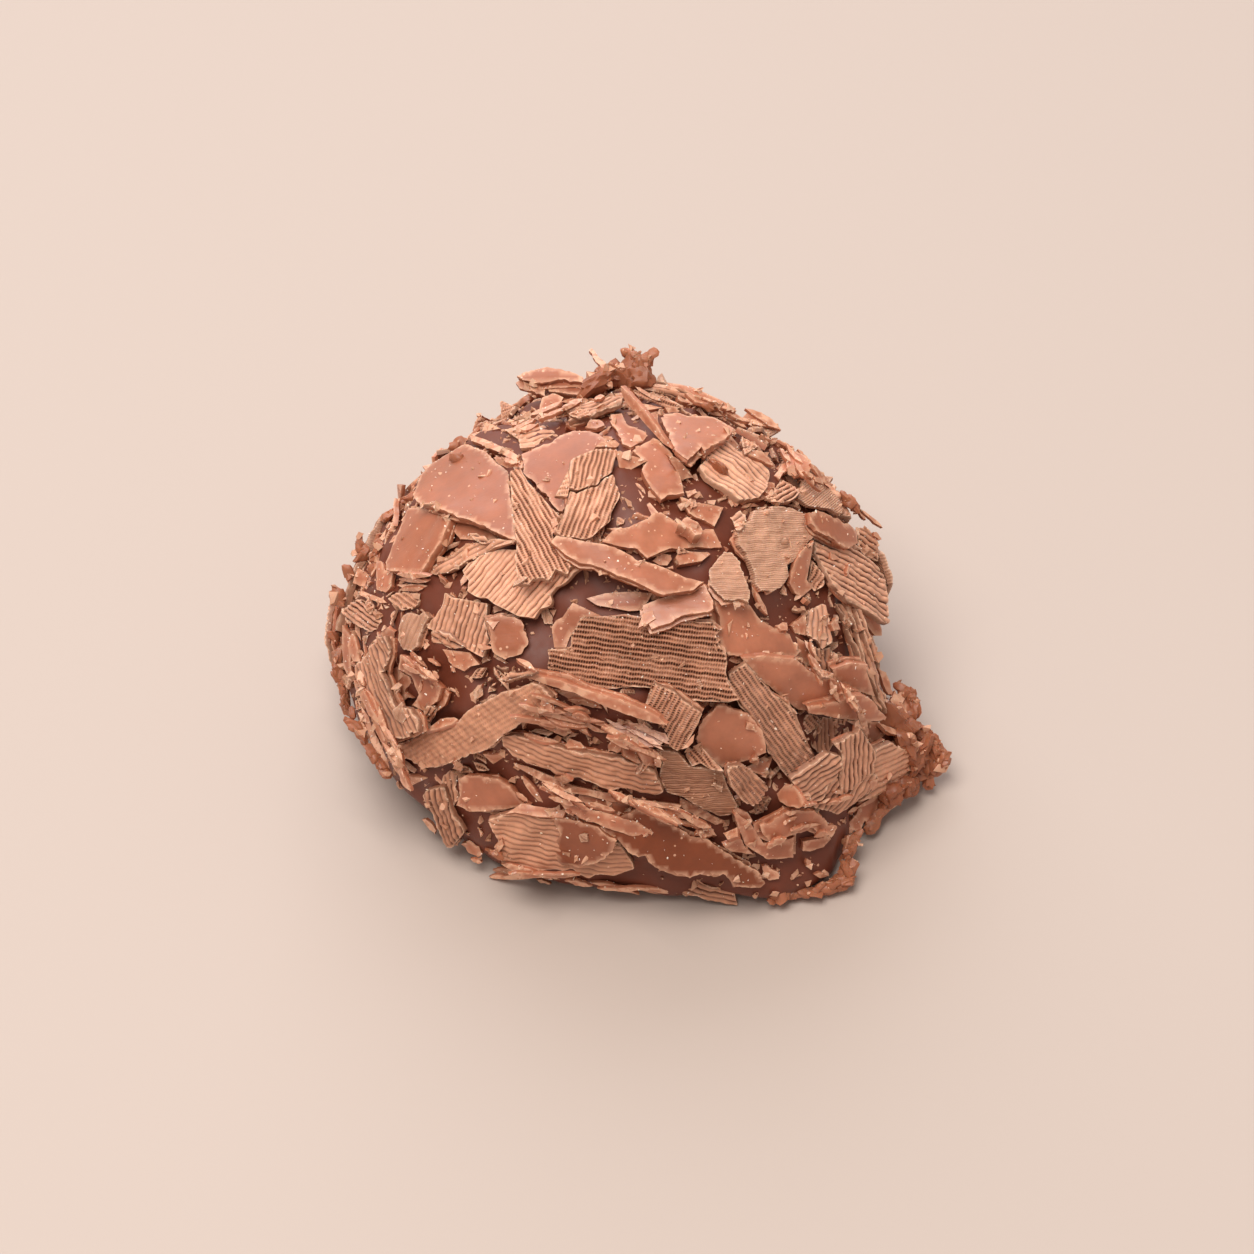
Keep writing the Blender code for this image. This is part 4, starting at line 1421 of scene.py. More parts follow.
          "12.7,-12.7 12.1,-12.4 11.4,-12.3 11.2,-12 12,-11.6", 55, tone=0.5, lift=-0.15),
    Drawn("ribbed_21", "-13.9,-8.8 -11.6,-7.75 -11,-7.7 -9.6,-7.05 -9,-6.4 -7,-5.4 -5.4,-4.9 -4.9,-5 -4,-5.7 "
          "-4.1,-6.1 -4.8,-6.4 -5.3,-6.9 -7,-8 -8,-8.9 -8.8,-9.1 -10.8,-9.9 -11.8,-9.9 -13,-9.3 -13.4,-9.5 "
          "-13.8,-9.1", 31, tone=-0.5, relief=0.35),
    Drawn("ribbed_01", "-10.45,0.45 -10,0.15 -8,-0.2 -8.1,-1.2 -7.9,-2.4 -8.2,-3.4 -11.5,-1.6 "
          "-10.7,-0.5", 72, relief=0.8),
    Drawn("smooth_01", "-8.1,-1 -7.7,-3.1 -6.9,-3.6 -5.9,-3.2 -5.5,-2.6 -5.6,-1.6 -6,-1 -7,-0.7", tone=-0.8),
    Drawn("grained_01", "-13,-0.8 -12.5,-0.7 -12,-0.85 -11.6,-0.6 -11.4,-1 -11.9,-2 -12.1,-2.8 -12.5,-3.1 "
          "-12.9,-3 -13.3,-2.4", 65),
    Drawn("smooth_02", "-13.1,-3.2 -12.7,-3.3 -10.6,-5.2 -10.9,-6 -11.6,-6.6 -12.4,-6.2 -12,-5.6 -12.5,-4.5 "
          "-13.2,-4.1", tone=-0.8),
    Drawn("ribbed_02", "-15.9,-3.8 -15.1,-3.1 -14.9,-2.5 -14.5,-2.1 -14,-2.1 -13.8,-3 -14.1,-4.4 -13.5,-6.2 "
          "-12.6,-6.4 -12.2,-7 -12,-7.8 -12.9,-8.3 -13.9,-8.6 -14.3,-7.8 -14.9,-7 "
          "-15.4,-5.8", -66, tone=-0.1),
    Drawn("ribbed_03", "11.3,-2.7 11.9,-2.8 12.4,-2.6 12.5,-3.9 12.1,-4.4 11.6,-4.3 "
          "11.1,-3.9", 90, tone=-0.5),
    Drawn("ribbed_04", "12.75,-0.2 13,-0.2 13.6,-1.2 15.5,-6.6 15.2,-6.4 14.4,-4.6 "
          "13.3,-1.2", -70, tone=0.2, lift=-0.3),
    Drawn("ribbed_04", "13.3,-0.1 13.6,-0.3 14.9,-4.2 15.5,-5.6 15.7,-6.7 14.7,-4.6", -70, tone=-0.2),
    Drawn("ribbed_04", "13.8,-0.4 14.1,-0.6 14.7,-2.3 15.1,-2.8 15.2,-3.5 15,-3.6 "
          "14.3,-2", -70, tone=0.3, lift=0.3),
    Drawn("smooth_03", "12.4,-4.1 13.5,-3.7 14.5,-3.85 14.4,-4.2 14.9,-5.7 13,-5 12.6,-4.7", tone=-0.1),
)

# Pieces that the large flakes lie on. Their darker tones are painted shade, where they lie under the flakes.
UNDER = (
    Drawn("smooth", "-10.3,4.4 -9.3,5 -7,4 -6.5,3.6 -8,3.4 -9.6,3.6", tone=-0.4),
    Drawn("ribbed", "-7.9,10.4 -7.2,10.7 -6.2,10.8 -5.2,11.8 -4.8,12 -4.7,11.5 -6,10.4 "
          "-7.2,10.1", 25, tone=0.2),
    Drawn("ribbed", "-7,10.1 -4.9,10.4 -4,10 -4.1,9.8 -5,9.2 -6,8.9 -6.1,9.5", 10, tone=0.3, relief=0.6),
    Drawn("smooth", "-4.9,12.3 -3.8,11.2 -3,11.2 -2.2,11.9 -1.2,12.2 -2.6,12.7 -4.2,12.7", tone=-0.9),
    Drawn("smooth", "-0.9,10.6 -0.7,10.9 0,11 0.5,10.4 1.6,9.8 1.2,9.3 0.5,9 0,9.2", tone=0.2),
    Drawn("smooth", "-2,10.7 -1.2,10.6 -0.9,10.3 -1.5,10.1 -2.3,10.2", tone=-0.5),
    Drawn("ribbed", "0.6,12.4 2.5,12 3.6,11.4 3.1,11.2 1,11.9", -20, tone=0.2),
    Drawn("smooth", "2,12.9 4,12.6 6.7,11.3 5.8,11.1 4.4,11.8 3,12.2", tone=0.1),
    Drawn("smooth", "5,10.9 6,10.95 6.3,10.6 6,10.3 5.2,10.5", tone=0.1),
    Drawn("smooth", "6.9,10.6 7.4,11.1 8.2,11.1 9,10.6 8.6,10.2 7.6,10.2", tone=-0.3),
    Drawn("smooth", "6.4,6.3 6.6,6 7,5.8 8.2,5.9 9,6.2 9,6.9 8,7.1", tone=-0.2),
    Drawn("smooth", "3.3,6.2 3.9,5.9 6,5.5 5.5,4.3 3.9,5.1", tone=-0.3),
    Drawn("smooth", "1.7,2.3 2.3,2.8 2.9,2.7 3,2.4 2.7,2 2.2,2", tone=-0.8),
    Drawn("smooth", "-2.1,0.1 -1,0.4 0.5,0.5 1.8,0.4 1.2,-0.6 0.4,-0.65 -1.5,-0.3", tone=-0.9),
    Drawn("smooth", "-2.9,-0.15 -1.1,-1 -2.3,-1 -2.4,-1.3 -3.1,-2.2 -3.3,-2.8 -4,-2.8 -4.15,-1.6 -3.9,-1.2 "
          "-3.5,-1", tone=-0.6),
    Drawn("smooth", "9.9,-1.5 10.9,-0.7 10.9,-2.1 10.2,-2", tone=-0.2),
    Drawn("smooth", "10.2,-2.1 11.3,-2.8 10.9,-4 10.2,-3.2", tone=-0.4),
    Drawn("smooth", "14.1,-0.5 15,-0.9 15.3,-1.7 15.3,-2.1 14.9,-2.1 14.5,-1.6", tone=0.1),
    Drawn("smooth", "-13.6,-3 -13.3,-3.3 -13.2,-4.1 -12.5,-4.5 -12.4,-4.9 -12.8,-5.4 -12.3,-5.8 -13.6,-6.2 "
          "-14.15,-4.3", tone=-0.2),
    Drawn("smooth", "-16.5,-1.5 -15.9,-2.3 -16,-3.3 -15.9,-4.8 -16.4,-4", tone=-0.3),
    Drawn("smooth", "-14.5,2.4 -14.1,2.3 -13.95,1.8 -13.5,1.7 -13.6,0.8 -14,0.4 -14.5,0.6"),
    Drawn("smooth", "-15.9,1 -15.6,2 -14.9,1.5 -14.6,0.8 -14.9,0.6", tone=-0.2),
    Drawn("smooth", "-5.3,-6.7 -4.2,-7 -3,-7.9 -3.4,-8.1 -5.3,-7.2", tone=-0.2),
    Drawn("smooth", "-2.9,-11.3 -1.5,-11.5 1.5,-12.2 2.6,-12.9 3,-13.5 1.6,-13.2 -2.2,-12", tone=-0.9),
    Drawn("smooth", "3.4,-11.6 4.5,-12.1 5.4,-12.7 6.3,-13.1 5.5,-13.3 3.4,-12.2", tone=-0.9),
    Drawn("ribbed", "-10.6,-10.4 -10.3,-10 -9.8,-10.2 -9.8,-11.1 -9.5,-11.7 -9.9,-12.1 -10.5,-11.9 "
          "-10.5,-11.3 -10.7,-11", -80, tone=-0.2),
    Drawn("ribbed", "11.9,-6.9 13.2,-7.1 13.2,-7.4 12.8,-7.3 12.5,-8.6 12.1,-9.1 11.6,-9 11.2,-8.6 "
          "11.2,-7.9", 95, tone=-0.4, relief=0.7),
    Drawn("smooth", "13.2,-7.1 15.2,-7.2 15.5,-7.9 14.8,-8.6 14.1,-7.6", tone=-0.7),
    Drawn("smooth", "14,-11.9 15.6,-11.3 15.5,-11.9 15.2,-12.2 14.6,-13.5 14.3,-13 14,-13.7 13.4,-13.5 "
          "13.3,-13.1 13.8,-12.6", tone=-0.3),
    Drawn("ribbed", "16.6,-7.6 17.3,-7.7 17.8,-8.2 17.9,-8.9 17.3,-8.8 16.6,-8.4", -35, tone=0.3),
    Drawn("smooth", "15.9,-8.3 16.5,-7.9 16.6,-8.6 16.1,-8.8", tone=-0.5),
    Drawn("smooth", "16.2,-4.8 16.7,-4.9 17.5,-6.1 17.4,-6.8 17.2,-7.2 16.7,-6.9 16.6,-6.3 16,-6.1 15.9,-5.6 "
          "16.3,-5.3", tone=-0.1),
    Drawn("ribbed", "2.4,-16.7 4,-16.5 4.8,-17 6.6,-17.5 6.8,-18.2 5,-18 4.4,-17.6 3.8,-17.7 "
          "2.5,-17.2", -14, tone=-0.3),
)

# Pieces that lie on the large flakes, or beside them. Their tones, too, hold painted light and shade besides
# their own lightness.
OVER = (
    Drawn("smooth", "-4.2,-12.8 -2.6,-12.9 -1.4,-13.4 -1,-13.8 -0.3,-14.2 -0.5,-14.8 -1.4,-15.6 -2.4,-15.9 "
          "-3.6,-15.6 -4.3,-14.6 -3.7,-13.8", tone=-1.5),
    Drawn("ribbed", "-11.4,1.6 -11.2,1.9 -9.2,3.3 -7.4,3.6 -6.3,3.5 -8.3,2.7 -10.2,1.7 "
          "-11,1.5", 32, tone=0.2, relief=0.6),
    Drawn("smooth", "-9,9.75 -8.9,9.4 -6,8 -6.1,8.5 -7.4,9.2", tone=0.4),
    Drawn("smooth", "-7.6,8.4 -7.3,8 -6.8,7.7 -6.2,7.8 -6.8,8.3", tone=0.2),
    Drawn("smooth", "-1.6,9 -1.3,9.35 -0.4,9.45 -0.1,9.2 -0.3,9", tone=0.1),
    Drawn("smooth", "-2,14.75 -1.8,14.9 -0.5,13.5 -0.4,13 -0.9,12.9 -1.1,13.4 -1.8,14.3", tone=-0.1),
    Drawn("smooth", "-0.1,12.6 0.4,12.2 1.6,10.8 2.9,8.9 2.4,9.2 0,12", tone=0.3),
    Drawn("smooth", "-0.4,8.8 1.5,8.2 0.2,7.5 -0.1,7.6", tone=0.5),
    Drawn("ribbed", "0,7.4 0.7,7.1 1.2,6.7 1.4,6.3 1.1,5.8 0,6.5 -0.6,7.4", -40, tone=0.3),
    Drawn("smooth", "2.6,8.6 3.2,8.4 4,7.6 4.2,7.2 3.5,7.05", tone=0.1),
    Drawn("grained", "7.5,9.7 8.2,10.2 9.2,10.4 9.3,10 8.6,9.6 7.7,9.4", 15, tone=0.6),
    Drawn("smooth", "7.2,8.9 7.4,8.6 8.9,7.9 8.7,8.4 8.2,8.8", tone=0.3),
    Drawn("smooth", "8.9,7.3 9.3,7.1 9.5,7.5 10.4,7.9 10.3,8.3 9.4,8", tone=0.2),
    Drawn("smooth", "10.4,7.3 10.9,7.8 11.5,7.2 11.1,7 10.5,7", tone=0.1),
    Drawn("grained", "10.7,7.1 11.3,7.7 12.5,6.5 12.9,5.7 13,5.1 11.1,5.6 10.4,6", 40, tone=1.0),
    Drawn("ribbed", "8.4,6 8.9,6.4 9.4,7.2 10.2,6.9 10.5,6.3 9.9,5.9 9,5.8", 30, tone=0.8),
    Drawn("smooth", "10,8.9 10.7,8.6 11.3,7.9 10.8,7.4 10.2,7.3 9.6,7.8 9.5,8.4", tone=0.2),
    Drawn("smooth", "13,6.1 13.4,6.3 13.8,6 14,5.2 13.6,5.3", tone=-0.1),
    Drawn("ribbed", "13.9,4.3 14.5,4.2 15.1,3.4 15.2,2.3 14.3,2.6 13.9,3.1", -35, tone=0.1),
    Drawn("ribbed", "6.3,5 7,5.3 7.3,5 7.2,4.4 6.7,4.1", 40, tone=0.1),
    Drawn("smooth", "3.3,4.5 3.8,5 4.5,4.6 4.8,4.1 4.7,3.9 4.3,3.8 4,4.2", tone=-0.2, thickness=0.7),
    Drawn("smooth", "3.15,2.5 3.4,2.9 5.1,2.8 5.2,2.7 4.7,2.3 3.4,2.1", tone=0.2, thickness=0.6),
    Drawn("smooth", "10.2,2.2 10.6,2.9 11.2,3.3 11.3,3.5 10.9,1.2 11.2,0.7 10.6,0.2 10.2,0.4 "
          "9.9,1", tone=0.1),
    Drawn("ribbed", "11.2,2.4 11.9,1.5 11.9,0.8 11.3,0.5 11,1.2", 60, tone=-0.1),
    Drawn("smooth", "9,-1.5 9.4,-1.2 9.8,-1.3 9.8,-1.9 9.4,-1.8", tone=0.3),
    Drawn("ribbed", "10.95,-0.5 11.8,-0.1 12.1,-0.3 12.4,-1.9 12.4,-2.5 11.9,-2.9 "
          "10.95,-2.1", 90, tone=0.4, relief=0.8),
    Drawn("smooth", "12.3,-1.4 12.6,-0.95 12.9,-1.8 12.5,-1.9"),
    Drawn("smooth", "15,-3.9 15.6,-4.2 16.1,-5.7 15.7,-5.6 15.3,-4.9"),
    Drawn("ribbed", "-13.8,0.1 -13.5,0.4 -12.9,0.5 -12.2,0.4 -12,0 -12.2,-0.4 -12.9,-0.6 "
          "-13.4,-0.4", -35, tone=0.5),
    Drawn("ribbed", "-16.6,-0.6 -16,-0.1 -15.4,0.1 -14.4,-0.7 -14.3,-1.3 -14.6,-1.9 -15,-1.9 -15.8,-1.4 "
          "-16.4,-1.3", -35),
    Drawn("ribbed", "-11.3,-1.9 -10.8,-1.9 -10.3,-2.1 -9.3,-2.9 -10.1,-2.9 -10.6,-2.6 -11.2,-2.5", -30),
    Drawn("smooth", "-10.6,-2.9 -9,-3.1 -8.4,-3.8 -8.9,-3.9 -9.3,-4.2 -10,-3.9"),
    Drawn("ribbed", "-9,-4.6 -8.5,-4 -8,-4 -8.3,-4.6", 60),
    Drawn("ribbed", "-11.7,-6.6 -11.5,-6.3 -10.9,-6.4 -11,-7.1 -11.4,-7.4", 60, tone=-0.2),
    Drawn("smooth", "-11.6,-7.7 -10.7,-7 -9.9,-6.9 -9.7,-7 -10.1,-7.3 -10.9,-7.6", tone=0.2),
    Drawn("ribbed", "-7.3,-4.6 -6.9,-4.3 -5.2,-4 -5,-4.2 -6.8,-4.7", 10, tone=0.1),
    Drawn("smooth", "-2.9,-7 -2,-7.2 -0.7,-7.9 -1.6,-7.8", tone=0.4),
    Drawn("smooth", "-3.4,-8.5 -3.1,-8.1 -2.4,-8.3 -2.1,-8.7 -3.2,-8.7", tone=0.4),
    Drawn("smooth", "0,-7.1 1.3,-7.3 2.6,-7.8 2.8,-8.3 2.3,-8.6 1.6,-8.7 -0.9,-7.6 -1,-7.3", tone=-0.1),
    Drawn("smooth", "-0.9,-8.5 -0.6,-8.1 0,-8.2 0,-8.8 -0.3,-9.1 -0.9,-9", tone=-0.1),
    Drawn("smooth", "0,-8.5 0.6,-8.3 1.2,-9.7 0.9,-9.7 0.1,-9.2", tone=-0.2),
    Drawn("smooth", "0.6,-8.3 1.9,-8.8 2.2,-9.9 1.3,-9.7", tone=-0.4),
    Drawn("smooth", "1.8,-8.8 2.2,-9 2.4,-9.6 2.3,-9.95 1.9,-9.8", tone=0.2),
    Drawn("smooth", "3.5,-8.8 4.1,-8 4.3,-7.9 4.2,-8.4 3.9,-8.7", tone=0.1),
    Drawn("ribbed", "3.7,-9.1 4.3,-8.6 4.7,-8.7 6,-10.1 5.2,-10 4.6,-9.6 4.1,-9.8", -52, tone=-0.1),
    Drawn("smooth", "7.5,-9.6 7.9,-9.1 8.1,-9.4 8,-9.8"),
    Drawn("smooth", "-6.4,-9.6 -5.3,-9.9 -2.7,-11 3.5,-12.1 3.2,-12.5 1,-12 -0.6,-11.9 -2,-11.5 -3,-11.4 "
          "-3.9,-11.1 -6.3,-9.8", tone=-0.4),
    Drawn("smooth", "-4.1,-10.5 -3.4,-10.4 -2.9,-10.7 -3.5,-10.9", tone=-0.2),
    Drawn("smooth", "-4.1,-11.45 1,-13.1 2,-13.7 3.2,-14 3.3,-14.4 3,-14.65 -2.5,-12.9 -3.4,-12.3", tone=0.1),
    Drawn("smooth", "-6.9,-12.6 -6.3,-12.5 -5,-12.75 -3.5,-12.8 -3.3,-12.4 -5.9,-12", tone=-0.3),
    Drawn("smooth", "-9.7,-9.4 -9.3,-9.8 -9.5,-10.2 -9.9,-9.8"),
    Drawn("smooth", "-11.9,-12.9 -11.6,-12.8 -11.2,-13.1 -10.9,-13.6 -11,-13.9 -11.4,-13.6"),
    Drawn("smooth", "-9.5,-14.4 -9,-14.1 -8.4,-14.5 -8.2,-15 -8.5,-15.2 -9.1,-14.9"),
    Drawn("smooth", "9.1,-11.4 9.6,-10.8 10.1,-10.9 10.8,-12 10.5,-12.3 9.8,-12.2 9.3,-11.9", tone=0.3),
    Drawn("ribbed", "10.9,-6.7 11.6,-6.8 11.9,-7.2 10.9,-8 10.6,-7.5", -50),
    Drawn("smooth", "8.1,-15.6 8.6,-15.5 9.4,-16.2 9.3,-16.5 8.7,-16.6 8.3,-16.2", tone=-0.2),
    Drawn("smooth", "13.3,-13.8 13.8,-13.8 13.5,-15.2 12.9,-15.4", tone=-0.2),
    Drawn("smooth", "5.9,-14.5 7,-14 7.3,-14.6 7.8,-15 6.5,-14.9", tone=-0.3),
    Drawn("smooth", "5.9,-13.7 6.8,-13.3 6.8,-13.9 6.2,-14.1", tone=-0.3),
    Drawn("smooth", "4.3,-13.4 4.9,-13.2 5.4,-13.5 5.6,-13.9 5,-14 4.4,-13.8", tone=-0.3),
)

# Slivers: from, to, width and tone, and the kind where it isn't smooth.
SLIVERS = (
    (-7.0, 8.3, -6.0, 8.1, 0.3, 0.3), (-13.4, 5.0, -12.4, 6.2, 0.3, -0.4), (7.6, 0.8, 8.4, -0.6, 0.3, 0.5),
    (7.9, 0.5, 8.6, -0.9, 0.25, 0.4), (-13.3, 1.5, -11.3, 1.4, 0.28, 0.4),
    (-13.2, 1.2, -11.4, 1.1, 0.26, 0.0), (-13.3, 0.9, -11.5, 0.85, 0.28, 0.3),
    (-13.1, 0.6, -11.8, 0.6, 0.26, -0.1), (-15.6, 0.5, -13.9, -0.15, 0.35, 0.2),
    (-16.9, -3.2, -16.2, -6.8, 0.5, -0.1), (-12.7, -3.3, -10.8, -4.8, 0.3, 0.3),
    (-11.5, -3.4, -10.8, -3.9, 0.25, 0.3), (-11.2, -4.1, -10.7, -4.6, 0.35, 0.1),
    (-15.4, -6.2, -13.6, -10.3, 0.5, 0.0), (-14.9, -6.6, -13.4, -9.9, 0.35, 0.2),
    (-13.9, -8.9, -12.8, -10.6, 0.4, -0.1), (-6.3, -3.4, -5.1, -4.1, 0.3, 0.2),
    (-4.0, -5.3, -1.2, -6.4, 0.4, 0.1), (-3.3, -5.9, -1.4, -6.4, 0.35, 0.3),
    (-4.3, -6.3, -1.8, -8.1, 0.5, -0.1), (-5.8, -7.8, -3.7, -8.3, 0.3, 0.2),
    (-5.9, -10.4, -4.5, -12.2, 0.3, -0.2), (-6.3, -11.2, -5.5, -11.9, 0.4, -0.2),
    (-9.0, -15.2, -8.2, -15.5, 0.3, 0.0), (15.1, -7.2, 16.8, -8.0, 0.35, 0.1),
    (10.9, -15.2, 11.1, -15.8, 0.3, 0.0), (11.3, -16.2, 12.2, -16.2, 0.35, 0.0),
    (-9.0, 3.9, -7.9, 3.5, 0.45, 0.4, "ribbed"),
)

# Strips of thin shavings.
STRIPS = (
    Splinters((-5.2, -6.4), (1.8, -8.7), 0.8, -20, 20, 61),
    Splinters((-5.0, -11.1), (5.0, -13.2), 0.7, -22, 22, 62),
    Splinters((-12.9, -3.3), (-11.1, -4.5), 0.5, -38, 6, 63, 0.8, 2.0),
    Splinters((-15.6, -4.5), (-12.6, -10.5), 0.6, -65, 12, 64, 1.0, 3.0),
    Splinters((-7.4, -16.0), (2.6, -17.2), 0.3, -7, 14, 65, 1.0, 3.2),
    Splinters((10.8, -2.5), (14.6, -7.9), 0.7, -60, 12, 66, 0.8, 2.0),
    Splinters((8.8, -13.2), (15.8, -12.6), 1.2, 20, 14, 67, 0.7, 1.8),
    Splinters((-6.9, 10.2), (-1.0, 12.0), 0.5, 22, 12, 68, 0.8, 2.2),
    Splinters((1.0, 12.6), (8.6, 10.4), 0.4, -20, 14, 69, 0.8, 2.6),
    Splinters((9.5, 9.2), (15.4, 3.6), 0.6, -45, 14, 70, 0.7, 2.0),
)

# Hollows between the flakes where no chips fell: right, up and radius on the sheet, in millimetres.
HOLLOWS = (
    (-10.3, -5.9, 1.5), (-4.6, -2.3, 1.3), (-3.2, 0.1, 1.1), (-1.2, 1.0, 0.9), (9.3, -0.5, 1.0),
    (11.7, -15.0, 1.0), (-8.8, -13.5, 1.1), (5.4, 6.7, 1.0), (14.7, -8.2, 0.5), (3.6, 1.0, 0.8),
)

# Torn ledges: the line each follows on the sheet, how thick it is in millimetres, and its tone.
LEDGES = (
    ("-1.6,12.5 -0.6,12.8 0.4,12.9 1.3,12.6", 0.8, -0.8), ("-0.2,13.2 0.4,13.6 0.7,13.9", 0.7, -0.5),
    ("1.2,13.3 1.1,13.9", 0.55, -0.3), ("0.4,14.5 0.9,14.2 1.3,14.0 1.8,14.4", 0.4, 0.4),
    ("-1.2,13.0 -0.6,13.4", 0.5, -0.3), ("16.4,-5.2 16.9,-5.6 17.2,-6.2 17.0,-6.9", 0.4, 0.0),
    ("16.3,-6.9 17.0,-7.5 17.9,-8.2 18.5,-8.9 18.7,-9.5 18.4,-10.0", 0.5, -0.1),
    ("15.8,-7.2 16.6,-8.0 17.3,-9.0 17.6,-9.8", 0.9, -0.6), ("17.3,-10.3 17.9,-10.4 18.1,-10.7", 0.45, -0.3),
    ("15.4,-11.7 16.3,-11.1 17.2,-10.8", 0.6, -0.8), ("15.5,-12.0 15.0,-12.7 14.5,-13.6", 0.4, -0.1),
    ("13.7,-13.9 13.4,-14.6 13.1,-15.3", 0.35, 0.3), ("13.0,-15.8 13.1,-16.4 12.4,-16.7", 0.5, 0.0),
    ("12.3,-16.8 11.3,-17.1 10.2,-17.2 9.0,-17.4 8.5,-17.6", 0.4, 0.0),
    ("-15.4,3.2 -15.2,2.6 -15.6,2.2", 0.42, -0.2), ("-14.3,3.2 -14.6,2.4", 0.35, -0.2),
    ("-16.2,1.7 -16.0,1.3", 0.35, 0.0), ("-16.7,0.3 -16.5,-0.2", 0.45, 0.1),
    ("-17.1,-2.3 -16.8,-2.5", 0.4, 0.1),
    ("-16.8,-3.3 -16.7,-4.2 -16.4,-5.2 -16.2,-6.3 -15.8,-6.8", 0.33, -0.3),
    ("-15.8,-7.3 -15.4,-7.7 -15.2,-8.5", 0.4, 0.0), ("-14.8,-8.9 -14.3,-9.6 -13.7,-10.3", 0.35, -0.2),
    ("13.2,5.9 13.7,5.4", 0.4, 0.0), ("5.0,11.5 5.5,11.3", 0.35, 0.0), ("-12.7,5.9 -12.3,6.2", 0.3, 0.0),
    ("-9.8,9.1 -9.4,9.4", 0.3, 0.0), ("-7.7,-14.7 -7.2,-15.0", 0.3, 0.0),
)


# Geometry Nodes


@dataclass(frozen=True)
class ScraperRibs:
    """The ridges left by a nicked scraper, as a node tree that presses grooves in the faces' rows.

    A groove lies at each whole number of `rib_phase`. It opens and pinches shut in slits along its
    length, and the ridges between are beaded where the chocolate crumbled.
    """

    groove_depth: float = 0.19 * MM
    bead_depth: float = 0.09 * MM
    wobble: float = 0.07 * MM
    slit_length: float = 2.2
    bead_length: float = 0.24
    open_share: float = 0.75
    seed: int = 4

    SIZES = ("Groove Depth", "Bead Depth", "Wobble", "Slit Length", "Bead Length", "Open Share")
    STEEPNESS = 2.4
    PINCHED_DEPTH = 0.6
    SWAY_LENGTH = 0.55
    # Steps through the noise that keep flakes, grooves and ridges from looking alike.
    FLAKE_STEP = 917.0
    GROOVE_STEP = 3.17
    RIDGE_STEP = 5.31

    def tree(self) -> bpy.types.NodeTree:
        """Builds the node tree.

        Returns:
            The tree, with its sizes as named inputs.
        """
        graph, given = geometry_graph("scraper_ribs", self.SIZES)
        calc, product = graph.calc, graph.product
        phase, run, shard, scraped = map(graph.read, ("rib_phase", "rib_run", "shard", "scraped"))
        shift = product(shard, self.FLAKE_STEP)

        def noise_at(across: Input, along: Input, detail: float = 0.0) -> Socket:
            """Noise, different on each flake.

            Args:
                across: the place across the ribs.
                along: the place along them.
                detail: how many finer layers it has.

            Returns:
                The noise, 0 to 1.
            """
            place = graph.step("ShaderNodeCombineXYZ", {0: calc("ADD", across, shift), 1: along, 2: shift})
            inputs = {"Vector": place, "W": given["Seed"], "Scale": 1.0, "Detail": detail}
            return graph.step("ShaderNodeTexNoise", inputs, noise_dimensions="4D")

        off_crest = product(calc("ABSOLUTE", calc("SUBTRACT", calc("FRACT", phase), 0.5)), 2.0)
        in_groove = calc("POWER", off_crest, self.STEEPNESS)
        groove = product(calc("ROUND", phase), self.GROOVE_STEP)
        slits = noise_at(groove, calc("DIVIDE", run, given["Slit Length"]))
        closed = calc("SUBTRACT", 0.62, product(given["Open Share"], 0.24))
        edges = calc("SUBTRACT", closed, 0.08), calc("ADD", closed, 0.06)
        opened = graph.ranged(slits, *edges, self.PINCHED_DEPTH)
        ridge = product(calc("FLOOR", phase), self.RIDGE_STEP)
        beads = noise_at(ridge, calc("DIVIDE", run, given["Bead Length"]), 1.0)
        beads = calc("SUBTRACT", 0.78, beads)
        cut = product(in_groove, opened, given["Groove Depth"])
        worn = product(beads, calc("SUBTRACT", 1.0, in_groove), given["Bead Depth"])
        drop = product(calc("ADD", cut, worn), scraped)
        sway = noise_at(product(phase, 0.2), calc("DIVIDE", run, self.SWAY_LENGTH))
        sway = product(calc("SUBTRACT", sway, 0.5), given["Wobble"], product(scraped, 2.0))
        down = graph.vector("SCALE", graph.read("out", "FLOAT_VECTOR"), product(drop, -1.0))
        aside = graph.vector("SCALE", graph.read("sideways", "FLOAT_VECTOR"), sway)
        crest = calc("SUBTRACT", 1.0, calc("DIVIDE", drop, calc("ADD", given["Groove Depth"], 1e-9)))
        stored = graph.store(given["Geometry"], "crest", crest)
        offset = graph.vector("ADD", down, aside)
        moved = graph.step("GeometryNodeSetPosition", {"Geometry": stored, "Offset": offset})
        whole = graph.step("GeometryNodeRealizeInstances", {"Geometry": moved})
        return graph.hand_out(whole, given["Material"])

    def press(self, piece: bpy.types.Object, material: bpy.types.Material) -> bpy.types.Object:
        """Presses the ribs in a piece and makes the result plain mesh.

        Args:
            piece: the piece.
            material: its finish.

        Returns:
            The same object.
        """
        depths = (self.groove_depth, self.bead_depth, self.wobble)
        values = (*depths, self.slit_length, self.bead_length, self.open_share)
        return grown(piece, self.tree(), dict(zip(self.SIZES, values), Seed=self.seed, Material=material))


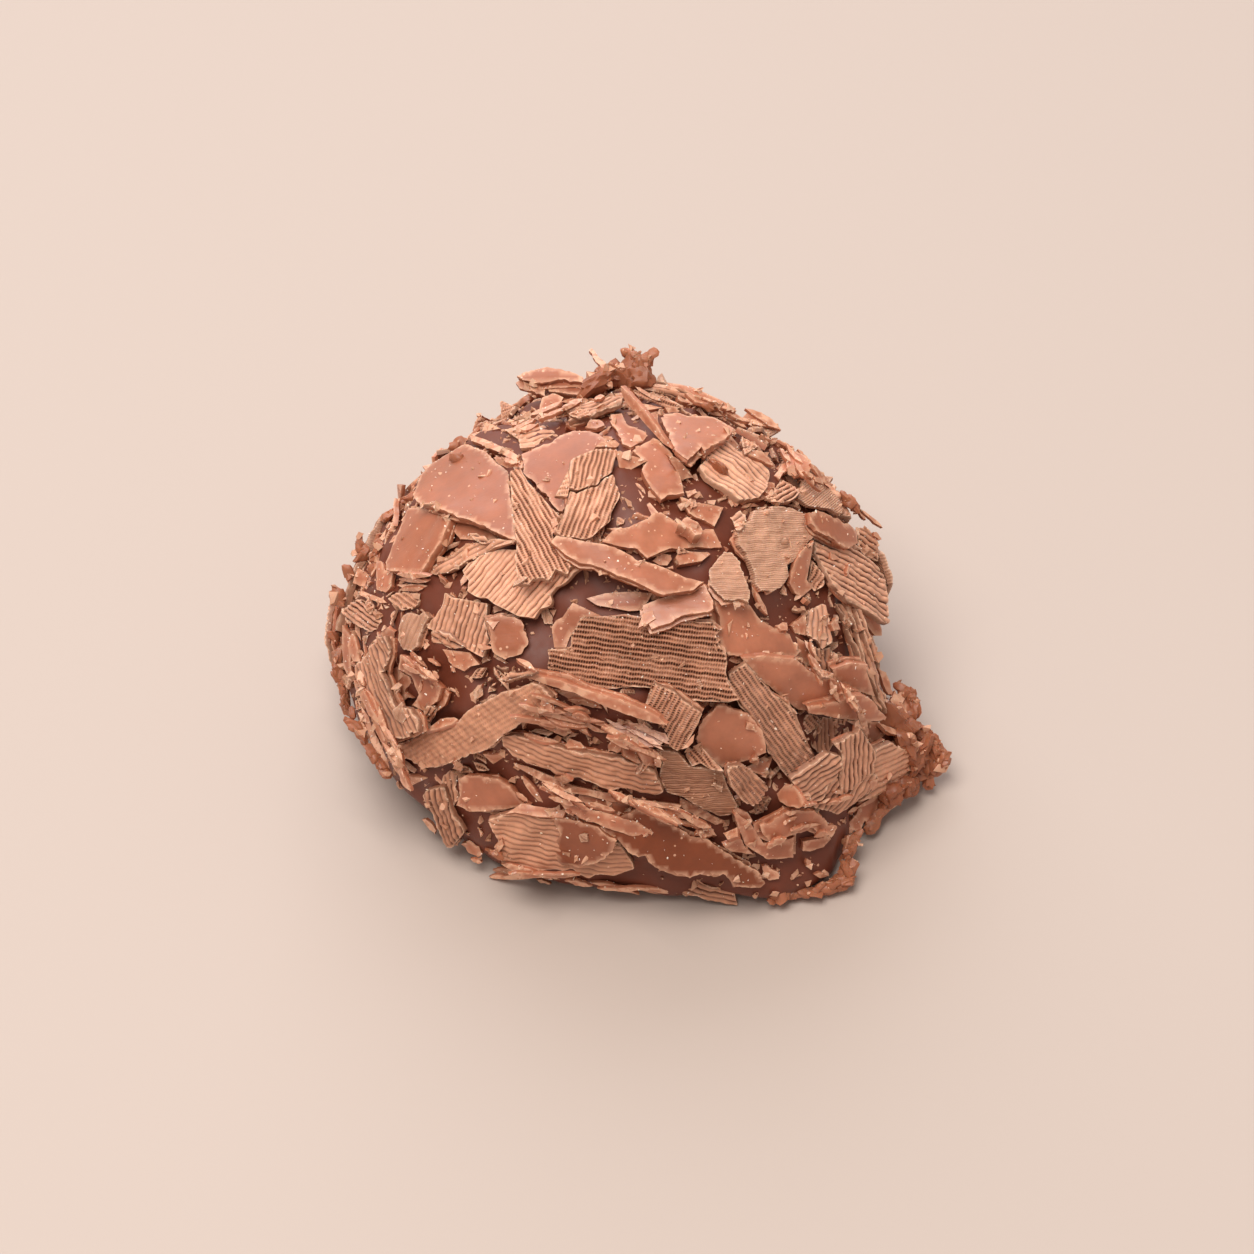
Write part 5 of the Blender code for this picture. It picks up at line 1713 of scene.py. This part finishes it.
@dataclass(frozen=True)
class Scatter:
    """Loose bits strewn over a bed: small broken lumps of random size, turned at random."""

    name: str
    density: float
    smallest: float
    largest: float
    seed: int
    rough: float = 0.35

    SIZES = ("Density", "Smallest", "Largest", "Roughness")
    # The higher, the fewer bits are large.
    RARITY = 2.6
    TILT = 0.7
    SLIMMEST = (0.6, 0.35, 0.25)
    WIDEST = (1.3, 1.0, 0.9)
    BREAKS = 4200.0

    def tree(self) -> bpy.types.NodeTree:
        """Builds the node tree.

        Returns:
            The tree, with its sizes as named inputs.
        """
        graph, given = geometry_graph(self.name, self.SIZES)
        density = graph.product(graph.read("bare"), given["Density"])
        points = graph.add("GeometryNodeDistributePointsOnFaces", {
            "Mesh": given["Geometry"], "Density": density, "Seed": given["Seed"],
        }, distribute_method="RANDOM").outputs
        share = graph.calc("POWER", graph.random(0.0, 1.0, given["Seed"]), self.RARITY)
        span = graph.calc("SUBTRACT", given["Largest"], given["Smallest"])
        size = graph.calc("ADD", given["Smallest"], graph.product(share, span))
        spin = graph.random((-self.TILT, -self.TILT, 0.0), (self.TILT, self.TILT, math.tau), 5)
        spin = graph.step("FunctionNodeEulerToRotation", {0: spin})
        turned = {0: points["Rotation"], 1: spin}
        strewn = graph.step("GeometryNodeInstanceOnPoints", {
            "Points": points[0],
            "Instance": graph.step("GeometryNodeMeshIcoSphere", {"Radius": 0.5, "Subdivisions": 1}),
            "Rotation": graph.step("FunctionNodeRotateRotation", turned, rotation_space="LOCAL"),
            "Scale": graph.vector("SCALE", graph.random(self.SLIMMEST, self.WIDEST, 77), size),
        })
        toned = graph.store(strewn, "tone", graph.random(-1.0, 1.0, 31), "INSTANCE")
        sized = graph.store(toned, "size", size, "INSTANCE")
        whole = graph.step("GeometryNodeRealizeInstances", {"Geometry": sized})
        breaks = {"Vector": graph.step("GeometryNodeInputPosition"), "Scale": self.BREAKS, "Detail": 0.0}
        breaks = graph.add("ShaderNodeTexNoise", breaks, noise_dimensions="3D").outputs["Color"]
        amount = graph.product(graph.read("size"), given["Roughness"], 4.0)
        offset = graph.vector("SCALE", graph.vector("SUBTRACT", breaks, (0.5, 0.5, 0.5)), amount)
        broken = graph.step("GeometryNodeSetPosition", {"Geometry": whole, "Offset": offset})
        flat = graph.step("GeometryNodeSetShadeSmooth", {"Geometry": broken, "Shade Smooth": False})
        return graph.hand_out(flat, given["Material"])

    def strew(self, bed: bpy.types.Object, material: bpy.types.Material) -> bpy.types.Object:
        """Strews the bits over a bed, which they replace, and makes them plain mesh.

        Args:
            bed: what the bits lie on.
            material: their finish.

        Returns:
            The same object.
        """
        values = (self.density, self.smallest, self.largest, self.rough)
        made = grown(bed, self.tree(), dict(zip(self.SIZES, values), Seed=self.seed, Material=material))
        made.name = made.data.name = self.name
        return made


def grown(piece: bpy.types.Object, tree: bpy.types.NodeTree, sizes: dict) -> bpy.types.Object:
    """Runs a node tree on a piece and keeps the result as its plain mesh.

    Args:
        piece: the piece, which keeps its name.
        tree: the node tree.
        sizes: the value of each named input.

    Returns:
        The piece.
    """
    modifier = piece.modifiers.new(tree.name, "NODES")
    modifier.node_group = tree
    for item in tree.interface.items_tree:
        if item.in_out == "INPUT" and item.name in sizes:
            modifier[item.identifier] = sizes[item.name]
    graph = bpy.context.evaluated_depsgraph_get()
    mesh = bpy.data.meshes.new_from_object(piece.evaluated_get(graph), depsgraph=graph)
    mesh.name = piece.name
    mesh.set_sharp_from_angle(angle=SHARP)
    piece.modifiers.remove(modifier)
    piece.data = mesh
    return piece


# Finishes


@dataclass(frozen=True)
class Chocolate:
    """Tempered milk chocolate. One base recipe, with what each way of breaking it does to the eye.

    `low` is the colour in the grooves, darker in part as painted shade, and `high` that of the crests,
    paler in part as a painted highlight and in part for the crumbled chocolate's own pale colour. The
    colour after `high` is that of rims and specks: pale dust, and along the rims a painted highlight too.
    `low_at` and `high_at` say how high the crest is at each of the first two.
    """

    name: str
    low: int
    high: int
    dust_and_highlight: int
    roughness: float
    grain: float
    bump: float
    glow: float = 0.12
    specks: float = 0.0
    scratches: float = 0.0
    low_at: float = 0.2
    high_at: float = 0.95
    ripples: float = 0.0

    # How much red, green and blue change with the tone, which also carries painted light and shade: darker
    # chocolate is also redder, and so is the painted shade.
    TONE_DEPTH = (0.26, 0.34, 0.40)
    # Walls take more of the groove colour and a lower tone: partly the broken inside's own darker colour,
    # partly painted shade.
    WALL_SHADE = 0.55
    WALL_TONE_AND_SHADE = 0.5
    CLOUDS = 420.0
    SPECK_CELLS = 2600.0
    SPECK_SIZE = 0.22
    SCRATCHES = 700.0
    RIPPLE_HEIGHT = 0.55
    GLOW_RADIUS = (1.0, 0.38, 0.16)
    GLOW_DEPTH = 0.14 * MM

    def material(self) -> bpy.types.Material:
        """Builds the material.

        Returns:
            A node material that reads Object coordinates and the mesh's own attributes.
        """
        made = bpy.data.materials.new(self.name)
        made.use_nodes = True
        made.node_tree.nodes.clear()
        graph = Graph(made.node_tree)
        calc, product = graph.calc, graph.product

        def blend(share: Input, first: Input, second: Input) -> Socket:
            """A mix of two colours."""
            inputs = {0: share, 6: first, 7: second}
            return graph.add("ShaderNodeMix", inputs, data_type="RGBA", clamp_factor=True).outputs[2]

        def read(name: str) -> Socket:
            """An attribute of the mesh."""
            return graph.add("ShaderNodeAttribute", attribute_name=name).outputs["Fac"]

        def noise_over(place: Input, scale: float, detail: float, rough: float = 0.5) -> Socket:
            """Noise over the surface."""
            inputs = {"Vector": place, "Scale": scale, "Detail": detail, "Roughness": rough}
            return graph.step("ShaderNodeTexNoise", inputs)

        place = graph.add("ShaderNodeTexCoord").outputs["Object"]
        wall = read("wall")
        # Walls are darker, partly for their own colour and partly as painted shade.
        crest = product(read("crest"), calc("SUBTRACT", 1.0, product(wall, self.WALL_SHADE)))
        # Grooves take the darker colour as painted shade, and crests the paler one, partly as a painted
        # highlight.
        colour = blend(graph.ranged(crest, self.low_at, self.high_at), linear(self.low), linear(self.high))
        tone = calc("SUBTRACT", read("tone"), product(wall, self.WALL_TONE_AND_SHADE))
        tint = graph.vector("ADD", graph.vector("SCALE", self.TONE_DEPTH, tone), (1.0, 1.0, 1.0))
        colour = graph.vector("MULTIPLY", colour, tint)
        cloud = graph.ranged(noise_over(place, self.CLOUDS, 3.0, 0.6), 0.35, 0.65, 0.9, 1.08)
        grit = noise_over(place, self.grain, 2.0, 0.7)
        bright = product(cloud, calc("ADD", 0.86, product(grit, 0.28)))
        colour = graph.vector("SCALE", colour, bright)
        # Rims turn towards the pale colour: partly pale dust on the broken edges, partly a painted highlight
        # along them.
        dust = calc("ADD", 0.4, product(calc("GREATER_THAN", grit, 0.5), 0.4))
        colour = blend(product(read("rim"), dust), colour, linear(self.dust_and_highlight))
        if self.specks:
            inputs = {"Vector": place, "Scale": self.SPECK_CELLS, "Randomness": 1.0}
            cells = graph.add("ShaderNodeTexVoronoi", inputs, feature="F1").outputs
            chance = graph.step("ShaderNodeSeparateColor", {0: cells["Color"]})
            rare = calc("GREATER_THAN", chance, 1 - self.specks)
            spot = product(calc("LESS_THAN", cells["Distance"], self.SPECK_SIZE), rare)
            colour = blend(product(spot, 0.8), colour, linear(self.dust_and_highlight))
        rough = graph.ranged(grit, 0.3, 0.7, self.roughness - 0.07, self.roughness + 0.09)
        relief = noise_over(place, self.grain * 1.7, 3.0, 0.65)
        if self.scratches:
            stretch = {"Vector": place, "Rotation": (0.4, 0.7, 0.5), "Scale": (1.0, 14.0, 6.0)}
            lines = noise_over(graph.step("ShaderNodeMapping", stretch), self.SCRATCHES, 2.0)
            relief = calc("ADD", relief, product(lines, self.scratches))
        if self.ripples:
            # Ripples this fine are drawn in the finish: the mesh would need far more faces.
            waves = calc("ADD", product(read("rib_phase"), math.tau * self.ripples), product(cloud, 14.0))
            relief = calc("ADD", relief, product(calc("SINE", waves), self.RIPPLE_HEIGHT))
        bump = graph.step("ShaderNodeBump", {"Height": relief, "Strength": 1.0, "Distance": self.bump})
        shader = graph.step("ShaderNodeBsdfPrincipled", {
            "Base Color": colour, "Roughness": rough, "Normal": bump, "IOR": 1.46,
            "Subsurface Weight": self.glow, "Subsurface Radius": self.GLOW_RADIUS,
            "Subsurface Scale": self.GLOW_DEPTH,
        })
        graph.add("ShaderNodeOutputMaterial", {0: shader})
        return made


# The dark coating that the filling was dipped in: it set smooth, with a satin look. Its colour is also set a
# little darker as painted shade, for the hollows that the flakes overhang.
COATING = Chocolate("dipped_milk_chocolate", 0x6E3624, 0x6E3624, 0xB98A70, 0.5, 900.0, 0.012 * MM, glow=0.1)
# Planed with a nicked scraper: dull, with pale crumbled ridges and dark slits. The slits' dark colour is
# painted shade, and the ridges' pale one partly a painted highlight.
SCRAPED = Chocolate(
    "scraped_milk_chocolate", 0x582E1D, 0xDCA080, 0xF2C8AA, 0.5, 2600.0, 0.02 * MM, specks=0.06, low_at=0.1
)
# Broken or cut clean: even, faintly scratched, with a waxy sheen.
SNAPPED = Chocolate(
    "snapped_milk_chocolate", 0xB97457, 0xB97457, 0xEAB898, 0.36, 1500.0, 0.01 * MM, specks=0.1, scratches=0.6
)
# Rubbed to a fine, dry grain. Its shallow grooves are painted darker as shade, and its crests paler, partly
# as a painted highlight.
GRAINED = Chocolate(
    "grained_milk_chocolate", 0xB07E64, 0xCC987B, 0xEAC2A6, 0.55, 3600.0, 0.03 * MM, low_at=0.3, ripples=2.2
)
# Crumbs are torn on every side, so they are dull and pale.
CRUMBLED = Chocolate("crumbled_milk_chocolate", 0xD09C7E, 0xD09C7E, 0xE8C0A4, 0.6, 3000.0, 0.02 * MM)
# Torn while the coating was setting, so it is smooth-skinned and darker.
TORN = Chocolate("torn_milk_chocolate", 0xA8684A, 0xA8684A, 0xD9A482, 0.42, 900.0, 0.02 * MM, glow=0.3)
# The finest bits are nearly dust, and catch the light.
DUSTED = Chocolate("milk_chocolate_dust", 0xFBE2CE, 0xFBE2CE, 0xFFF0E2, 0.6, 3000.0, 0.01 * MM)


# Sub-assemblies


@dataclass
class CoatedBody:
    """The dipped dome under the flakes."""

    voxel: float = 0.32 * MM
    lump: float = 0.16 * MM
    waves: int = 24
    node: str = "coated_body"

    def build(self) -> bpy.types.Object:
        """Makes the coating: the node's form, remeshed evenly and set in soft uneven lumps.

        Returns:
            The object.
        """
        bm = merged(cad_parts[self.node])
        bmesh.ops.scale(bm, vec=(MM,) * 3, verts=bm.verts)
        piece = mesh_object("coating", bm)
        remesh = piece.modifiers.new("even", "REMESH")
        remesh.mode, remesh.voxel_size, remesh.use_smooth_shade = "VOXEL", self.voxel, True
        smooth = piece.modifiers.new("set", "SMOOTH")
        smooth.factor, smooth.iterations = 0.5, 6
        graph = bpy.context.evaluated_depsgraph_get()
        shaped = bpy.data.meshes.new_from_object(piece.evaluated_get(graph), depsgraph=graph)
        piece.modifiers.clear()
        piece.data = shaped
        shaped.name = "coating"
        points = np.empty(len(shaped.vertices) * 3)
        normals = np.empty(len(shaped.vertices) * 3)
        shaped.vertices.foreach_get("co", points)
        shaped.vertices.foreach_get("normal", normals)
        points, normals = points.reshape(-1, 3), normals.reshape(-1, 3)
        chance = np.random.default_rng(8)
        push = np.zeros(len(points))
        for _ in range(self.waves):
            way = chance.normal(size=3)
            way /= np.linalg.norm(way)
            length = chance.uniform(1.2, 5.0) * MM
            phase = points @ way / length * math.tau + chance.uniform(0, math.tau)
            push += np.sin(phase) * (length / (4 * MM))
        push *= self.lump / math.sqrt(self.waves / 2)
        points += normals * push[:, None]
        points[:, 2] = np.maximum(points[:, 2], 0.0)
        shaped.vertices.foreach_set("co", points.ravel())
        shaped.update()
        shaped.materials.clear()
        shaped.materials.append(COATING.material())
        shaped.shade_smooth()
        return piece


@dataclass
class FlakeSet:
    """All flakes of one kind of face, in one mesh."""

    name: str
    plates: list[Plate]

    def build(self, material: bpy.types.Material, ribs: ScraperRibs) -> bpy.types.Object:
        """Cuts the flakes, presses their ribs and dresses them.

        Args:
            material: their finish.
            ribs: the scraper's ribs.

        Returns:
            The object.
        """
        shaper = FlakeShaper()
        for plate in self.plates:
            shaper.add(plate)
        return ribs.press(shaper.piece(self.name), material)


RIBS = {
    Face.RIBBED: ScraperRibs(),
    Face.SMOOTH: ScraperRibs(groove_depth=0.0, bead_depth=0.0, wobble=0.0),
    Face.GRAINED: ScraperRibs(groove_depth=0.05 * MM, bead_depth=0.03 * MM, slit_length=0.5, open_share=0.4),
}
MATERIALS = {Face.RIBBED: SCRAPED, Face.SMOOTH: SNAPPED, Face.GRAINED: GRAINED}


@dataclass
class Studio:
    """A pale floor, soft light from behind and above, and the camera."""

    lens: float = 195.0
    reach: float = 1.5
    middle: tuple[float, float, float] = (0.0, 0.0, 0.008)

    def floor(self) -> None:
        """A plain pale sheet that the truffle stands on."""
        mesh = bpy.data.meshes.new("floor")
        corners = [(x * self.reach, y * self.reach, 0) for x, y in ((-1, -1), (1, -1), (1, 1), (-1, 1))]
        mesh.from_pydata(corners, [], [(0, 1, 2, 3)])
        material = bpy.data.materials.new("matt_paper")
        material.use_nodes = True
        shader = material.node_tree.nodes["Principled BSDF"]
        shader.inputs["Base Color"].default_value = linear(0xC2B4AB)
        shader.inputs["Roughness"].default_value = 0.9
        mesh.materials.append(material)
        placed("floor", mesh)

    def light(self, name: str, place: tuple, size: float, power: float, colour: int) -> None:
        """One soft square light that faces the truffle.

        Args:
            name: its name.
            place: where it stands.
            size: the square's side.
            power: in watts.
            colour: as 0xRRGGBB.
        """
        data = bpy.data.lights.new(name, "AREA")
        data.size, data.energy, data.color = size, power, linear(colour)[:3]
        made = placed(name, data)
        made.location = place
        made.rotation_euler = (Vector(self.middle) - made.location).to_track_quat("-Z", "Y").to_euler()

    def build(self) -> None:
        """Sets up the floor, lights, sky and camera."""
        self.floor()
        self.light("window", (-0.10, 0.38, 0.28), 0.50, 1.8, 0xF8F9FF)
        self.light("ceiling", (-0.08, -0.10, 0.42), 0.26, 1.7, 0xFFFAF4)
        world = bpy.data.worlds.new("room")
        world.use_nodes = True
        sky = world.node_tree.nodes["Background"].inputs
        sky[0].default_value, sky[1].default_value = linear(0xFFF0E6), 0.45
        bpy.context.scene.world = world
        camera = bpy.data.cameras.new("camera")
        camera.sensor_width, camera.lens = 36.0, self.lens
        camera.clip_start, camera.clip_end = 0.01, 10.0
        made = placed("camera", camera)
        made.location = EYE * MM
        made.rotation_euler = (math.pi / 2 - ELEVATION, 0, 0)
        bpy.context.scene.camera = made
        bpy.context.scene.view_settings.view_transform = "Standard"


# How far past upright a face can lean and still hold crumbs, as the height of its normal.
OVERHANG = 0.45


def bed_of(pieces: list[tuple[bpy.types.Object, float]]) -> bpy.types.Object:
    """Copies pieces into one mesh that loose bits are strewn on.

    Args:
        pieces: each piece, with how thickly the bits lie on it.

    Returns:
        The bed, with the thickness at each point, none on what faces down.
    """
    bm = bmesh.new()
    layer = bm.verts.layers.float.new("bare")
    for piece, bare in pieces:
        first = len(bm.verts)
        bm.from_mesh(piece.data)
        bm.verts.ensure_lookup_table()
        for vertex in bm.verts[first:]:
            vertex[layer] = bare * min(1.0, max(0.0, vertex.normal.z + OVERHANG))
    return mesh_object("bed", bm)


def settle_in(piece: bpy.types.Object, slot: str, *nodes: str) -> None:
    """Makes a finished piece part of the truffle and logs it.

    Args:
        piece: the piece.
        slot: a material slot's name; not used.
        nodes: the model's nodes that it takes the place of.
    """
    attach(piece, "root")
    if nodes:
        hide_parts(*nodes)
    piece.data.calc_loop_triangles()
    LOG.info("%s: %d triangles", piece.name, len(piece.data.loop_triangles))


class Truffle:
    """The whole piece: lays the flakes in order, then builds and dresses each sub-assembly."""

    # Flakes on the far side that broke shorter than the model's plain outline, or sank deeper in the
    # coating: the share of their size that is left, and how deep they sank, in millimetres.
    SETTLED = {"ribbed_flake_23": (0.75, 1.5), "grained_flake_05": (0.85, 0.8)}
    CLEARANCE = 0.12
    THICKEST = 0.42
    THINNEST = 0.32
    # How large, in square millimetres, a flake is that has a layer under it.
    LAYERED = 3

    def __init__(self) -> None:
        """Starts with the model's own flakes on the body."""
        self.names = sorted(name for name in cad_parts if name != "coated_body")
        self.carriers = {name: plate_of(name, 100 + k) for k, name in enumerate(self.names)}
        self.pile = Pile(merged(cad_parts["coated_body"]))
        self.large: list[Plate] = []
        self.small: list[Plate] = []

    def place(self, plate: Plate, plates: list[Plate]) -> None:
        """Adds a plate to a list and to the pile, lifted where it would sink in the floor.

        Args:
            plate: the plate.
            plates: the list.
        """
        lowest = min(point.z for point in plate.slab()[0])
        plate = replace(plate, point=plate.point + Vector((0, 0, max(0.0, self.CLEARANCE - lowest))))
        plates.append(plate)
        self.pile.add(*plate.slab())

    def lay_large(self) -> None:
        """Lays the large flakes, each in its node's plane, and a layer under each."""
        drawn = {flake.node for flake in LARGE}
        tones = np.random.default_rng(2)
        for number, flake in enumerate(LARGE):
            carrier = self.carriers[flake.node]
            thickness = min(max(carrier.thickness, self.THINNEST), self.THICKEST)
            self.place(flake.on(replace(carrier, thickness=thickness), 300 + number), self.large)
        for name in self.names:
            if name not in drawn:
                turn, tone = tones.uniform(-0.2, 0.2), tones.uniform(-0.5, 0.5)
                carrier = self.carriers[name]
                share, depth = self.SETTLED.get(name, (1.0, 0.0))
                point = carrier.point - carrier.normal * depth
                corners = carrier.corners * share
                settled = replace(carrier, point=point, corners=corners, rib_turn=turn, tone=tone)
                self.place(settled, self.large)
        for number, plate in enumerate(self.large.copy()):
            if abs(signed_area(plate.corners)) > self.LAYERED:
                self.small.append(layer_under(plate, 400 + number))

    def lay_small(self) -> None:
        """Lays the smaller drawn flakes and the slivers, then the chips that fill what is left."""
        for number, flake in enumerate(OVER):
            self.place(flake.rest(self.pile, 600 + number), self.small)
        for number, (x0, y0, x1, y1, width, tone, *kind) in enumerate(SLIVERS):
            shaving = sliver(*(kind or ["smooth"]), (x0, y0), (x1, y1), width, tone, 700 + number)
            self.place(shaving.rest(self.pile, 700 + number), self.small)
        shavings = [shaving for strip in STRIPS for shaving in strip.drawn()]
        for number, shaving in enumerate(shavings):
            self.place(shaving.rest(self.pile, 800 + number), self.small)
        beds = [
            ChipBed(ChipSizes(3.4, 6.5, 0.4, 0.8, 0.3, 0.42, 0.05, 0.25), tries=500, seed=20, far_side=True),
            ChipBed(ChipSizes(2.2, 4.2, 0.35, 0.8, 0.28, 0.4, 0.1, 0.45), tries=700, seed=21, far_side=True),
            ChipBed(ChipSizes(1.2, 2.6, 0.25, 0.9, 0.22, 0.36, 0.15, 0.9), tries=1300, seed=22),
            ChipBed(ChipSizes(0.6, 1.5, 0.3, 0.95, 0.18, 0.3, 0.1, 1.1), tries=2200, seed=23),
            ChipBed(ChipSizes(0.5, 1.7, 0.25, 0.8, 0.18, 0.32, 0.0, 0.4), tries=120, seed=24, on_top=True),
        ]
        for bed in beds:
            bed.lay(self.pile)
            self.small += bed.chips
            LOG.info("chips laid: %d", len(bed.chips))

    def build(self) -> None:
        """Builds every piece, from the body outwards."""
        body = CoatedBody().build()
        settle_in(body, "coating", "coated_body")
        for number, flake in enumerate(UNDER):
            self.place(flake.rest(self.pile, 500 + number, True), self.small)
        self.lay_large()
        self.lay_small()
        made = []
        for face in Face:
            material = MATERIALS[face].material()
            own = [name for name in self.names if name.startswith(face.value)]
            sets = (("flakes", self.large, own, 0.2), ("chips", self.small, [], 0.8))
            for label, plates, nodes, bits in sets:
                chosen = [plate for plate in plates if plate.face is face]
                piece = FlakeSet(f"{face.value}_{label}", chosen).build(material, RIBS[face])
                settle_in(piece, f"{face.value}_face", *nodes)
                made.append((piece, bits))
        lumps = TornLumps().build(self.pile, TORN.material())
        settle_in(lumps, "smooth_face")
        crumbs = Scatter("crumbs", density=1.7e6, smallest=0.12 * MM, largest=0.7 * MM, seed=6)
        dust = Scatter("dust", density=4.2e6, smallest=0.06 * MM, largest=0.17 * MM, seed=9)
        bed = bed_of([(body, 1.0), (lumps, 0.5), *made])
        settle_in(crumbs.strew(bed, CRUMBLED.material()), "smooth_face")
        settle_in(dust.strew(bed_of(made), DUSTED.material()), "smooth_face")


def main() -> None:
    """Builds the truffle and the studio."""
    logging.basicConfig(level=logging.INFO, format="%(message)s")
    Truffle().build()
    Studio().build()


if __name__ == "__main__":
    main()
